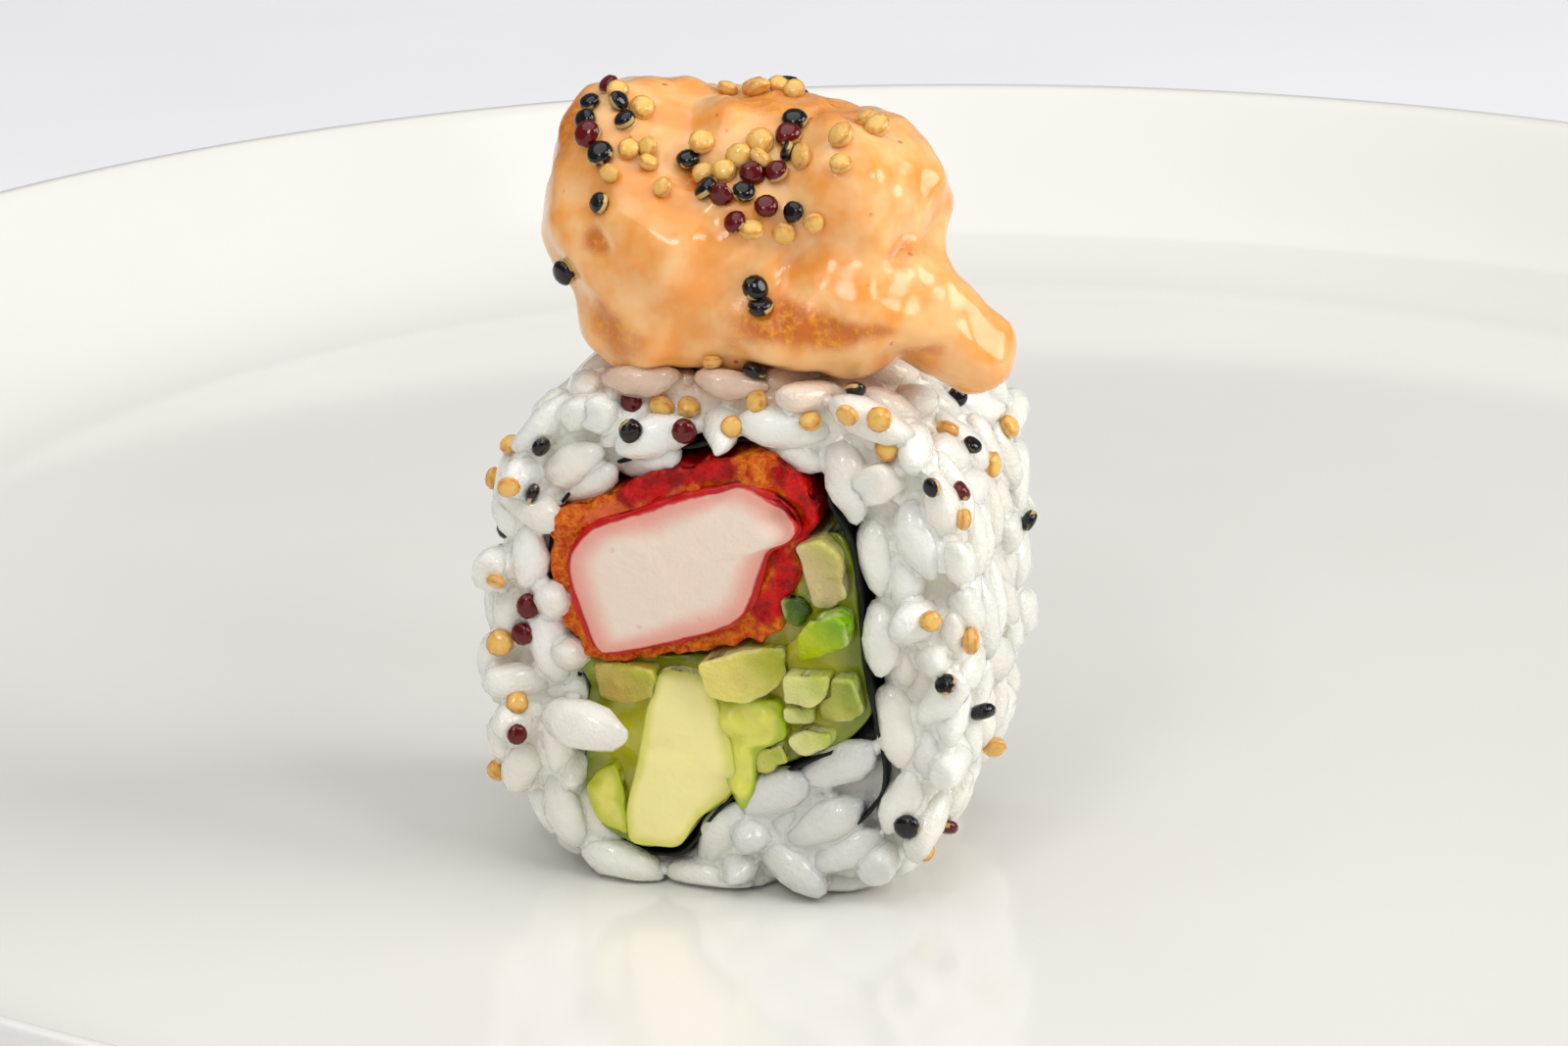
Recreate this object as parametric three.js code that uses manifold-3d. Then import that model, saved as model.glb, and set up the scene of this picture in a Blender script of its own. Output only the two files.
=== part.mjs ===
// A rice-out sushi roll (uramaki) on its white plate: one cut piece, topped with a sauced bite.
// Millimetres, +Z up, origin at the centre of the plate's foot, on the table.
// The roll has its own group: x across the cut face, y along the roll (the near face at -y), z up from the plate.
import * as THREE from 'three';
import { mergeVertices } from 'three/addons/utils/BufferGeometryUtils.js';
import Module from 'manifold-3d';

const wasm = await Module();
wasm.setup();

// Driving dimensions of the plate
const PLATE_RADIUS = 140;
const PLATE_HEIGHT = 22;
const PLATE_WALL = 4;
const WELL_RADIUS = 108;
const WELL_TOP = 6;
const FOOT_RADIUS = 84;
const FOOT_WIDTH = 6;
const FOOT_HEIGHT = 2.2;
const PLATE_SIDES = 44;

// Driving dimensions of the roll
const ROLL_WIDTH = 40;
const ROLL_HEIGHT = 43.4;
const ROLL_SINK = 1.3;          // how far the round section would reach below the plate before it is pressed flat
const ROLL_LENGTH = 26;
const ROLL_SQUARENESS = 2.9;    // exponent of the section: 2 is an ellipse, more is squarer
const ROLL_PLACE = new THREE.Vector2(-22, -45);
const ROLL_TURN = THREE.MathUtils.degToRad(-14);
const GAP = 0.3;                // clearance between touching pieces

// Rice and seeds
const GRAIN = { length: 7.4, width: 3.8, thick: 3.4, sides: 5, rings: 3 };
const GRAIN_PROUD = 1.1;        // how far the grains stand out of the packed rice behind them
const GRAIN_PITCH = 6.0;        // spacing of the grains round the outside
const FACE_PITCH = 5.4;         // spacing of the grains along the rings over a cut
const FACE_RINGS = [2.1, 5.9, 9.6];   // how far in from the outline those rings lie
const KNIFE_SPARE = 0.5;        // grains at the cut stand this far past the cut
const SEED = { across: 2.1, thick: 1.5, sides: 4, rings: 3 };
const RICE_SEEDS = 32;
const STRAY_GRAINS = [          // one lies across the near cut, from the rice out over the filling, on another
  { at: [-10.9, -1.9, 14.1], along: [0.96, -0.26, -0.1] },
  { at: [-14.4, -0.4, 14.4], along: [0.35, -0.1, 0.93] },
];

// Nori sheet: its line across the cut, from the tucked-in end round the filling to the lapped end
const NORI_THICK = 0.45;
const NORI_STEPS = 46;
const NORI_LINE = [
  [10.0, 13.4], [6.0, 11.4], [2.6, 9.7], [-0.9, 6.4], [-3.6, 2.9], [-8.0, 2.7], [-11.3, 5.2], [-12.2, 10.0],
  [-11.9, 16.5], [-13.4, 21.5], [-14.3, 26.5], [-13.6, 31.2], [-10.0, 34.6], [-3.2, 37.0], [3.0, 38.1],
  [7.3, 37.2], [9.0, 33.5], [10.7, 29.5], [11.2, 25.0], [11.6, 20.5], [12.4, 16.5], [13.2, 12.5], [13.0, 9.6],
  [11.2, 7.0], [8.8, 5.4],
];
const NORI_LAP_POINT = 21;      // the line's point that lies beside the tucked-in end

// Fried crab stick: outline of its cut, batter included
const CRAB_OUTLINE = [
  [-12.6, 30.6], [-9.6, 33.4], [-3.0, 35.9], [3.0, 37.0], [6.4, 36.2], [7.7, 33.0], [5.6, 30.6], [6.4, 28.0],
  [5.0, 23.6], [1.6, 21.3], [-4.0, 20.2], [-9.4, 19.9], [-11.9, 23.0], [-13.3, 26.6],
];
const CRAB_STEPS = 36;
const CRAB_LENGTH_STEPS = 4;
const CRAG = 0.18;              // depth of the batter's crags

// Avocado and cucumber: corners of each piece's cut, and how far it stands out of the near and far cut
const AVOCADO = {
  avocado_slice: { cut: [[-4.9, 18.9], [-1.4, 18.6], [0.2, 15.6], [1.2, 11.4], [0.5, 9.0], [-2.0, 6.4], [-4.2, 3.8],
    [-7.6, 3.8], [-7.9, 7.0], [-6.8, 11.3], [-6.1, 15.0]], near: 0.6, far: -0.3, round: 0.5 },
  avocado_mash: { cut: [[0.9, 16.6], [4.7, 16.7], [5.1, 14.5], [2.3, 12.0], [1.8, 12.0], [1.2, 14.5]],
    near: 0.1, far: 0.4, round: 0.6 },
  avocado_side: { cut: [[-11.0, 8.4], [-9.0, 10.9], [-8.4, 8.0], [-8.6, 4.4], [-10.3, 5.9]],
    near: -0.3, far: 0.2, round: 0.5 },
};
const CUCUMBER = [
  { cut: [[-10.5, 18.6], [-5.6, 19.2], [-6.6, 16.0], [-10.2, 15.9]], near: -0.2, far: 0.3 },
  { cut: [[-0.8, 19.9], [4.6, 21.4], [5.2, 19.6], [2.9, 17.4], [-0.4, 18.0]], near: 0.5, far: -0.4 },
  { cut: [[7.1, 30.7], [8.6, 31.0], [9.9, 29.6], [9.9, 25.8], [7.6, 25.2], [7.2, 27.6]], near: -0.5, far: 0.2 },
  { cut: [[6.2, 21.6], [9.6, 25.0], [10.4, 24.6], [10.6, 22.6], [7.8, 20.2], [6.2, 20.2]], near: 0.2, far: 0.5 },
  { cut: [[6.3, 25.4], [7.0, 24.9], [7.6, 23.7], [6.2, 22.5], [5.8, 23.5]], near: -0.9, far: -0.2 },
  { cut: [[5.4, 18.9], [8.9, 19.7], [8.5, 17.4], [5.6, 16.9]], near: 0.6, far: 0.1 },
  { cut: [[9.3, 19.3], [10.9, 19.8], [11.5, 16.8], [9.0, 15.6], [8.9, 17.0]], near: -0.2, far: -0.5 },
  { cut: [[5.5, 16.3], [7.9, 16.8], [8.3, 15.5], [5.8, 14.9]], near: 0.2, far: 0.4 },
  { cut: [[5.9, 14.3], [8.4, 15.0], [9.0, 13.9], [6.7, 12.8]], near: 0.5, far: -0.1 },
  { cut: [[2.9, 11.5], [5.2, 13.5], [5.9, 12.2], [3.6, 10.8]], near: -0.3, far: 0.3 },
];
const CUCUMBER_ROUND = 0.3;

// Sauced bite on top: soft lumps that melt into one another, with a drip at its right end
const TOPPING_HEART = new THREE.Vector3(-0.5, -1, 52);
const TOPPING_LUMPS = [
  { at: [-2.0, 1.0, 52.4], half: [14.0, 11.6, 10.8] },
  { at: [-10.4, 0.5, 56.8], half: [6.2, 8.5, 6.4] },
  { at: [-11.8, -3.0, 52.2], half: [4.8, 7.0, 5.4] },
  { at: [7.6, -0.5, 55.9], half: [7.2, 9.5, 6.6] },
  { at: [-5.5, -7.6, 51.6], half: [8.0, 5.4, 5.4] },
  { at: [-5.6, -7.6, 46.3], half: [7.4, 5.0, 4.0] },
  { at: [5.0, -7.6, 47.0], half: [9.0, 5.0, 4.2] },
];
const TOPPING_DRIP = { from: [9.5, -5.0, 50.6], to: [18.5, -5.0, 44.6], thick: 5.2, thin: 3.4 };
const TOPPING_MELT = 2.4;       // how softly the lumps join
const TOPPING_WAVE = { depth: 0.35, length: 9.5 };
const TOPPING_DETAIL = 7;
const TOPPING_SEEDS = [         // where seeds gather on the sauce, how widely they scatter, how many
  { at: [-2.5, -7.8, 58.9], spread: [6.8, 2.6, 2.0], count: 16 },
  { at: [3.1, -9.7, 56.2], spread: [4.0, 0.8, 1.8], count: 7 },
  { at: [-10.9, -4.3, 61.9], spread: [1.8, 3.5, 2.4], count: 6 },
  { at: [3.2, -4.3, 61.2], spread: [0.7, 1.3, 0.8], count: 2 },
  { at: [-10.1, -9.7, 55.8], spread: [0.2, 0.2, 0.2], count: 1 },
  { at: [-13.7, -8.8, 50.4], spread: [1.0, 1.3, 0.4], count: 2 },
  { at: [2.5, -11.3, 50.3], spread: [0.6, 0.5, 1.2], count: 2 },
  { at: [7.7, -6.1, 61.1], spread: [1.6, 3.5, 1.4], count: 4 },
  { at: [-2.2, 2.6, 62.8], spread: [8.0, 2.4, 1.0], count: 4 },
  { at: [0.0, 9.0, 58.0], spread: [9.0, 3.0, 4.0], count: 3 },
];

const material = (color, roughness) => new THREE.MeshStandardMaterial({ color, roughness, metalness: 0 });
const FINISH = {
  plate: material(0xf3f1ec, 0.12),
  rice: material(0xe9e8e2, 0.35),
  nori: material(0x14160f, 0.55),
  crab: material(0xdb5a3c, 0.5),
  avocado: material(0xd7d77a, 0.45),
  cucumber: material(0xb9cf7e, 0.25),
  topping: material(0xeea055, 0.25),
};

// A repeatable draw from 0 to 1 for item n of a named stream.
function draw(stream, n) {
  const wave = Math.sin(stream * 127.1 + n * 311.7) * 43758.5453;
  return wave - Math.floor(wave);
}

// A closed geometry as a solid that can be joined and cut.
function solidOf(geometry) {
  const bare = new THREE.BufferGeometry().setAttribute('position', geometry.getAttribute('position').clone());
  bare.setIndex(geometry.index);
  const merged = mergeVertices(bare, 1e-4);
  const triVerts = new Uint32Array(merged.index.array);
  return new wasm.Manifold(new wasm.Mesh({ numProp: 3, vertProperties: merged.attributes.position.array, triVerts }));
}

// A solid as a geometry, without the loose scraps that a cut leaves.
function geometryOf(solid) {
  const largest = solid.decompose().reduce((a, b) => (a.volume() > b.volume() ? a : b));
  const mesh = largest.getMesh();
  return new THREE.BufferGeometry()
    .setAttribute('position', new THREE.BufferAttribute(Float32Array.from(mesh.vertProperties), 3))
    .setIndex(new THREE.BufferAttribute(Uint32Array.from(mesh.triVerts), 1));
}

function named(name, geometry, finish) {
  const mesh = new THREE.Mesh(geometry, finish);
  mesh.name = name;
  return mesh;
}

// A shape across the cut, run along the roll from y = near to y = far.
function alongRoll(shape, near, far, steps = 1) {
  return new THREE.ExtrudeGeometry(shape, { depth: far - near, steps, curveSegments: 2, bevelEnabled: false })
    .rotateX(Math.PI / 2)
    .translate(0, far, 0);
}

const vector2s = (points) => points.map(([x, z]) => new THREE.Vector2(x, z));

// Straight-sided outline with its corners eased by the given radius.
function easedShape(points, radius) {
  const corners = vector2s(points);
  const shape = new THREE.Shape();
  corners.forEach((corner, i) => {
    const before = corners[(i + corners.length - 1) % corners.length];
    const after = corners[(i + 1) % corners.length];
    const ease = (other) => corner.clone().lerp(other, Math.min(0.45, radius / corner.distanceTo(other)));
    const [start, end] = [ease(before), ease(after)];
    if (i === 0) shape.moveTo(start.x, start.y);
    else shape.lineTo(start.x, start.y);
    shape.quadraticCurveTo(corner.x, corner.y, end.x, end.y);
  });
  shape.closePath();
  return shape;
}

// Smooth curve through points across the cut, as that many points.
function smoothLine(points, steps, closed) {
  const curve = new THREE.CatmullRomCurve3(points.map(([x, z]) => new THREE.Vector3(x, z, 0)), closed, 'centripetal');
  const sampled = curve.getSpacedPoints(steps).map((p) => new THREE.Vector2(p.x, p.y));
  return closed ? sampled.slice(0, -1) : sampled;
}

// The plate: a flat well that sweeps up into a low rim, on a foot ring.
function plateGeometry() {
  const rimStart = new THREE.Vector2(WELL_RADIUS, WELL_TOP);
  const lip = new THREE.Vector2(PLATE_RADIUS - 1, PLATE_HEIGHT);
  const sweep = new THREE.CubicBezierCurve(
    rimStart,
    new THREE.Vector2(WELL_RADIUS + 16, WELL_TOP),
    new THREE.Vector2(PLATE_RADIUS - 10, PLATE_HEIGHT - 7),
    lip,
  ).getPoints(6);
  const under = sweep.map((p) => new THREE.Vector2(p.x + 1, p.y - PLATE_WALL)).slice(0, -1);
  const base = WELL_TOP - PLATE_WALL;
  const footOuter = FOOT_RADIUS + FOOT_WIDTH / 2;
  const footInner = FOOT_RADIUS - FOOT_WIDTH / 2;
  const profile = [
    new THREE.Vector2(0, base + 0.4),
    new THREE.Vector2(footInner - FOOT_HEIGHT, base + 0.4),
    new THREE.Vector2(footInner, 0),
    new THREE.Vector2(footOuter, 0),
    new THREE.Vector2(footOuter + FOOT_HEIGHT, base + 0.2),
    ...under,
    new THREE.Vector2(PLATE_RADIUS, PLATE_HEIGHT - 2),
    new THREE.Vector2(PLATE_RADIUS, PLATE_HEIGHT - 0.6),
    ...sweep.reverse(),
    new THREE.Vector2(0, WELL_TOP),
  ];
  return new THREE.LatheGeometry(profile, PLATE_SIDES).rotateX(Math.PI / 2);
}

const SECTION_HALF = [ROLL_WIDTH / 2, (ROLL_HEIGHT + ROLL_SINK) / 2];
const SECTION_MID = (ROLL_HEIGHT - ROLL_SINK) / 2;
const NEAR = -ROLL_LENGTH / 2;
const FAR = ROLL_LENGTH / 2;

// Distance of a point across the cut from the roll's outline, negative inside, close to true near the outline.
function rollDistance(x, z) {
  const [a, b] = SECTION_HALF;
  const power = Math.abs(x / a) ** ROLL_SQUARENESS + Math.abs((z - SECTION_MID) / b) ** ROLL_SQUARENESS;
  return (power ** (1 / ROLL_SQUARENESS) - 1) * a;
}

// Points spaced evenly round the roll's outline, each with its outward direction.
function sectionRing(count, inset) {
  const [a, b] = [SECTION_HALF[0] - inset, SECTION_HALF[1] - inset];
  const bulge = (value) => Math.sign(value) * Math.abs(value) ** (2 / ROLL_SQUARENESS);
  const outline = new THREE.CatmullRomCurve3(
    Array.from({ length: 180 }, (_, i) => {
      const angle = (i / 180) * 2 * Math.PI;
      return new THREE.Vector3(a * bulge(Math.cos(angle)), SECTION_MID + b * bulge(Math.sin(angle)), 0);
    }),
    true,
  );
  return Array.from({ length: count }, (_, i) => {
    const at = outline.getPointAt(i / count);
    const along = outline.getTangentAt(i / count);
    return { x: at.x, z: at.y, out: new THREE.Vector2(along.y, -along.x) };
  });
}

// The nori's ribbon across the cut, made thicker by 2 * spare.
function noriShape(spare) {
  const line = smoothLine(NORI_LINE, NORI_STEPS, false);
  const side = (sign) => line.map((p, i) => {
    const along = line[Math.min(i + 1, line.length - 1)].clone().sub(line[Math.max(i - 1, 0)]).normalize();
    const past = i === 0 ? -spare : i === line.length - 1 ? spare : 0;
    const across = new THREE.Vector2(-along.y, along.x).multiplyScalar(sign * (NORI_THICK / 2 + spare));
    return p.clone().addScaledVector(along, past).add(across);
  });
  return new THREE.Shape([...side(1), ...side(-1).reverse()]);
}

// The room that the nori and what it wraps take out of the rice.
function fillingRoom() {
  const wrapped = new THREE.Shape(smoothLine(NORI_LINE.slice(0, NORI_LAP_POINT + 1), NORI_STEPS, true));
  const spare = 4;
  return [wrapped, noriShape(GAP)]
    .map((shape) => solidOf(alongRoll(shape, NEAR - spare, FAR + spare)))
    .reduce((a, b) => a.add(b));
}

// The crab stick in its batter, whose crags roughen the outline.
function crabGeometry() {
  const outline = smoothLine(CRAB_OUTLINE, CRAB_STEPS, true);
  const middle = outline.reduce((sum, p) => sum.add(p), new THREE.Vector2()).divideScalar(outline.length);
  const geometry = alongRoll(new THREE.Shape(outline), NEAR - 0.3, FAR + 0.3, CRAB_LENGTH_STEPS);
  const place = geometry.getAttribute('position');
  for (let i = 0; i < place.count; i++) {
    const [x, y, z] = [place.getX(i), place.getY(i), place.getZ(i)];
    const out = new THREE.Vector2(x, z).sub(middle).normalize();
    const crag = CRAG * Math.sin(x * 2.9 + y * 1.7) * Math.sin(z * 3.1 - y * 1.3);
    place.setXYZ(i, x + out.x * crag, y, z + out.y * crag);
  }
  return geometry;
}

// A grain or seed: a ball drawn out to its three sizes, turned so that its x axis points along and its z axis out.
function kernel({ sides, rings }, sizes, at, along, out) {
  const lengthwise = new THREE.SphereGeometry(0.5, sides, rings).rotateZ(-Math.PI / 2);
  const across = new THREE.Vector3().crossVectors(out, along).normalize();
  const upright = new THREE.Vector3().crossVectors(along, across).normalize();
  const turn = new THREE.Matrix4().makeBasis(along.clone().normalize(), across, upright);
  return solidOf(lengthwise.scale(...sizes).applyMatrix4(turn).translate(at.x, at.y, at.z));
}

function grain(stream, n, at, along, out) {
  const size = 0.88 + 0.24 * draw(stream, n);
  const plump = 0.92 + 0.16 * draw(stream + 1, n);
  const sizes = [GRAIN.length * size, GRAIN.width * plump, GRAIN.thick * plump];
  return kernel(GRAIN, sizes, at, along, out);
}

function seed(stream, n, at, out) {
  const along = new THREE.Vector3(draw(stream, n) - 0.5, draw(stream + 1, n) - 0.5, draw(stream + 2, n) - 0.5);
  along.addScaledVector(out, -along.dot(out));
  const size = 0.85 + 0.3 * draw(stream + 3, n);
  return kernel(SEED, [SEED.across * size, SEED.across * size, SEED.thick * size], at, along, out);
}

// Grains laid round the roll's outside in staggered rows, pointing every way along the surface.
function sideGrains() {
  const rows = Math.round(ROLL_LENGTH / GRAIN_PITCH);
  const ring = sectionRing(Math.round((2 * (ROLL_WIDTH + ROLL_HEIGHT) * 0.82) / GRAIN_PITCH) * 8, GRAIN.thick / 2);
  const columns = ring.length / 8;
  const grains = [];
  for (let row = 0; row < rows; row++) {
    for (let column = 0; column < columns; column++) {
      const n = row * columns + column;
      const shift = (row % 2) * 4 + Math.round((draw(1, n) - 0.5) * 4);
      const { x, z, out } = ring[(column * 8 + shift + ring.length) % ring.length];
      const y = NEAR + ((row + 0.5 + (draw(2, n) - 0.5) * 0.5) * ROLL_LENGTH) / rows;
      const outward = new THREE.Vector3(out.x, 0, out.y);
      const round = new THREE.Vector3(-out.y, 0, out.x);
      const angle = draw(3, n) * Math.PI;
      const tilt = (draw(4, n) - 0.5) * 0.4;
      const along = round.multiplyScalar(Math.cos(angle)).add(new THREE.Vector3(0, Math.sin(angle), 0));
      along.addScaledVector(outward, tilt);
      const depth = (draw(5, n) - 0.75) * 0.8;
      const at = new THREE.Vector3(x, y, z).addScaledVector(outward, depth);
      const under = Math.abs(x) < ROLL_WIDTH / 4 && z < SECTION_MID;
      const covered = toppingDistance(at) < GRAIN.thick * 0.4;
      at.z = Math.max(at.z, GAP + GRAIN.thick * 0.3);
      if (!under && !covered) grains.push(grain(6, n, at, along, outward));
    }
  }
  return grains;
}

// Whether a point across the cut lies in the filling, or closer to it than the margin.
function nearFilling(x, z, margin) {
  const room = smoothLine(NORI_LINE.slice(0, NORI_LAP_POINT + 1), NORI_STEPS, true);
  const inside = room.reduce((odd, p, i) => {
    const q = room[(i + 1) % room.length];
    const crosses = p.y > z !== q.y > z && x < ((q.x - p.x) * (z - p.y)) / (q.y - p.y) + p.x;
    return crosses ? !odd : odd;
  }, false);
  return inside || room.some((p) => Math.hypot(p.x - x, p.y - z) < margin);
}

// Grains over the rice of one cut face, in rings that follow the outline.
function faceGrains(y, toward, stream) {
  return FACE_RINGS.flatMap((inset, layer) => {
    const count = Math.round((2 * (ROLL_WIDTH + ROLL_HEIGHT - 4 * inset) * 0.82) / FACE_PITCH);
    return sectionRing(count * 8, inset).filter((_, i) => i % 8 === 0).map((spot, i) => {
      const n = layer * 100 + i;
      const x = spot.x + (draw(stream, n) - 0.5) * 1.6;
      const z = spot.z + (draw(stream + 1, n) - 0.5) * 1.6;
      if (nearFilling(x, z, GRAIN.width * 0.3)) return null;
      const swing = (draw(stream + 2, n) - 0.5) * (layer === 0 ? 1.1 : Math.PI);
      const angle = Math.atan2(spot.out.x, -spot.out.y) + swing;
      const along = new THREE.Vector3(Math.cos(angle), (draw(stream + 3, n) - 0.5) * 1.2, Math.sin(angle));
      const low = GAP + GRAIN.thick * 0.35;
      const at = new THREE.Vector3(x, y - toward * (0.5 + draw(stream + 4, n)), Math.max(z, low));
      return toppingDistance(at) < GRAIN.thick * 0.4 ? null : grain(stream + 5, n, at, along.normalize(), new THREE.Vector3(0, toward, 0));
    });
  }).filter(Boolean);
}

// Seeds pressed into the rice, round its outside and a few on the cut.
function riceSeeds() {
  const ring = sectionRing(RICE_SEEDS * 3, SEED.thick * 0.2);
  return Array.from({ length: RICE_SEEDS }, (_, n) => {
    const { x, z, out } = ring[(n * 3 + Math.floor(draw(31, n) * 3)) % ring.length];
    const y = (draw(32, n) - 0.5) * ROLL_LENGTH;
    const outward = new THREE.Vector3(out.x, 0, out.y);
    return z > SEED.across ? seed(33, n, new THREE.Vector3(x, y, z), outward) : null;
  }).filter(Boolean);
}

// Rounded distance to a stretched ball, negative inside.
function lumpDistance(point, { at, half }) {
  const near = new THREE.Vector3(...half.map((h, i) => (point.getComponent(i) - at[i]) / h));
  const steep = new THREE.Vector3(...half.map((h, i) => near.getComponent(i) / h)).length();
  const reach = near.length();
  return steep < 1e-9 ? -Math.min(...half) : (reach * (reach - 1)) / steep;
}

function dripDistance(point) {
  const { from, to, thick, thin } = TOPPING_DRIP;
  const start = new THREE.Vector3(...from);
  const run = new THREE.Vector3(...to).sub(start);
  const share = THREE.MathUtils.clamp(point.clone().sub(start).dot(run) / run.lengthSq(), 0, 1);
  return point.distanceTo(start.addScaledVector(run, share)) - THREE.MathUtils.lerp(thick, thin, share);
}

function melt(a, b) {
  const h = Math.max(TOPPING_MELT - Math.abs(a - b), 0) / TOPPING_MELT;
  return Math.min(a, b) - (h * h * TOPPING_MELT) / 4;
}

// Distance from the topping's surface, negative inside. Its underside follows the packed rice that it lies on.
function toppingDistance(point) {
  const lumps = TOPPING_LUMPS.map((lump) => lumpDistance(point, lump)).reduce(melt);
  const { depth, length } = TOPPING_WAVE;
  const k = (2 * Math.PI) / length;
  const broad = Math.sin(point.x * k + point.z * k * 0.6) * Math.sin(point.y * k * 0.8 - point.z * k * 0.7 + 1);
  const fine = Math.sin(point.z * k * 1.7 - point.x * k * 0.9 + 2) * Math.sin(point.x * k * 1.3 + point.y * k * 1.5);
  const wave = depth * (broad + 0.5 * fine);
  const rice = rollDistance(point.x, point.z) + GRAIN_PROUD;
  return Math.max(melt(lumps, dripDistance(point)) + wave, GAP - rice);
}

// How far the topping, grown by spare, reaches from its heart in one direction.
function toppingReach(direction, spare = 0) {
  let reach = 0;
  for (let step = 0; step < 60; step++) {
    const distance = toppingDistance(TOPPING_HEART.clone().addScaledVector(direction, reach)) - spare;
    if (distance > -0.002) break;
    reach -= distance * 0.7;
  }
  return reach;
}

function toppingSolid(spare = 0) {
  const ball = new THREE.IcosahedronGeometry(1, TOPPING_DETAIL);
  const place = ball.getAttribute('position');
  for (let i = 0; i < place.count; i++) {
    const direction = new THREE.Vector3().fromBufferAttribute(place, i).normalize();
    const at = TOPPING_HEART.clone().addScaledVector(direction, toppingReach(direction, spare));
    place.setXYZ(i, at.x, at.y, at.z);
  }
  return solidOf(ball);
}

// Seeds strewn on the sauce in loose gatherings.
function toppingSeeds() {
  return TOPPING_SEEDS.flatMap(({ at, spread, count }, gathering) => Array.from({ length: count }, (_, i) => {
    const n = gathering * 40 + i;
    const aim = new THREE.Vector3(...at.map((middle, axis) => middle + (2 * draw(41 + axis, n) - 1) * spread[axis]));
    const direction = aim.sub(TOPPING_HEART).normalize();
    const reach = toppingReach(direction) + SEED.thick * 0.2;
    return seed(44, n, TOPPING_HEART.clone().addScaledVector(direction, reach), direction);
  }));
}

function toppingGeometry() {
  return geometryOf([toppingSolid(), ...toppingSeeds()].reduce((a, b) => a.add(b)));
}

// The rice: packed core, grains and seeds, cut by the knife, pressed flat on the plate, clear of filling and topping.
function riceGeometry() {
  const section = new THREE.Shape(sectionRing(44, GRAIN_PROUD).map(({ x, z }) => new THREE.Vector2(x, z)));
  const core = solidOf(alongRoll(section, NEAR + GRAIN_PROUD, FAR - GRAIN_PROUD));
  const kernels = [...sideGrains(), ...faceGrains(NEAR, -1, 11), ...faceGrains(FAR, 1, 21), ...riceSeeds()];
  const clearHeight = 2 * ROLL_HEIGHT;
  const knife = new THREE.BoxGeometry(2 * ROLL_WIDTH, ROLL_LENGTH + 2 * KNIFE_SPARE, clearHeight)
    .translate(0, 0, GAP + clearHeight / 2);
  const strays = STRAY_GRAINS.map(({ at: [x, out, z], along }, n) => {
    return grain(51, n, new THREE.Vector3(x, NEAR + out, z), new THREE.Vector3(...along), new THREE.Vector3(0, -1, 0));
  });
  const heap = kernels.reduce((a, b) => a.add(b), core).intersect(solidOf(knife));
  const fitted = heap.subtract(fillingRoom()).subtract(toppingSolid(GAP));
  return geometryOf(strays.reduce((a, b) => a.add(b), fitted));
}

const roll = new THREE.Group();
roll.position.set(ROLL_PLACE.x, ROLL_PLACE.y, WELL_TOP);
roll.rotation.z = ROLL_TURN;
roll.add(named('rice', riceGeometry(), FINISH.rice));
roll.add(named('nori', alongRoll(noriShape(0), NEAR - 0.1, FAR + 0.1), FINISH.nori));
roll.add(named('crab_stick', crabGeometry(), FINISH.crab));
for (const [name, { cut, near, far, round }] of Object.entries(AVOCADO)) {
  roll.add(named(name, alongRoll(easedShape(cut, round), NEAR - near, FAR + far), FINISH.avocado));
}
CUCUMBER.forEach(({ cut, near, far }, i) => {
  const baton = alongRoll(easedShape(cut, CUCUMBER_ROUND), NEAR - near, FAR + far);
  roll.add(named(`cucumber_${i + 1}`, baton, FINISH.cucumber));
});
roll.add(named('topping', toppingGeometry(), FINISH.topping));

const dish = new THREE.Group();
dish.add(named('plate', plateGeometry(), FINISH.plate));
dish.add(roll);

export default dish;
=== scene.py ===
"""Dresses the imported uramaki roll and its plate: rice, nori, filling, sauced topping, seeds and glaze.

Sizes are in millimetres in the roll's own frame (x across the cut, y along the roll with the near cut at -y,
z up from the plate's well) unless a name says otherwise. Finished meshes are in metres in the row frame.
"""

import itertools
import logging
import math
from collections.abc import Callable, Sequence
from dataclasses import dataclass
from enum import Enum, IntEnum
from typing import Any, Union

import bmesh
import bpy
import numpy as np
from mathutils import Matrix, Quaternion, Vector
from mathutils.bvhtree import BVHTree
from mathutils.kdtree import KDTree


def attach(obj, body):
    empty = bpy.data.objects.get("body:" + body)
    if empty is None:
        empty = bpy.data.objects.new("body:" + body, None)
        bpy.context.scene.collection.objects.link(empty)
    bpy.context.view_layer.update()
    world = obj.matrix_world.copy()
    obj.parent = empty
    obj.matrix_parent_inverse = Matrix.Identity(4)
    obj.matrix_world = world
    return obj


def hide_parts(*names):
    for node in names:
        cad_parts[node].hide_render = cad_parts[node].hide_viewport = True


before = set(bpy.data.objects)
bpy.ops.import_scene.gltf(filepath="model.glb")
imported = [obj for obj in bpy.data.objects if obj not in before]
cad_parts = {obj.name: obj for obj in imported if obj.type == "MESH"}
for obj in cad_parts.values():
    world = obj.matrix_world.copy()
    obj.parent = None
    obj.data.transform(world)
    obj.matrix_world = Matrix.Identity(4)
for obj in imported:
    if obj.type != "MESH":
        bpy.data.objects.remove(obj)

log = logging.getLogger("uramaki")
MM = 0.001
BODY = "root"

# Keeps divisions from meeting zero
TINY = 1e-9

# A limit in millimetres that nothing on the plate reaches
FREE = 99.0

Colour = tuple[float, float, float, float]
Flat = tuple[float, float]
Place = tuple[float, float, float]
Line = tuple[Flat, ...]
Bulge = tuple[Flat, float, float]
Value = Union["Wire", float]
Sockets = dict[str, Any]


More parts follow.
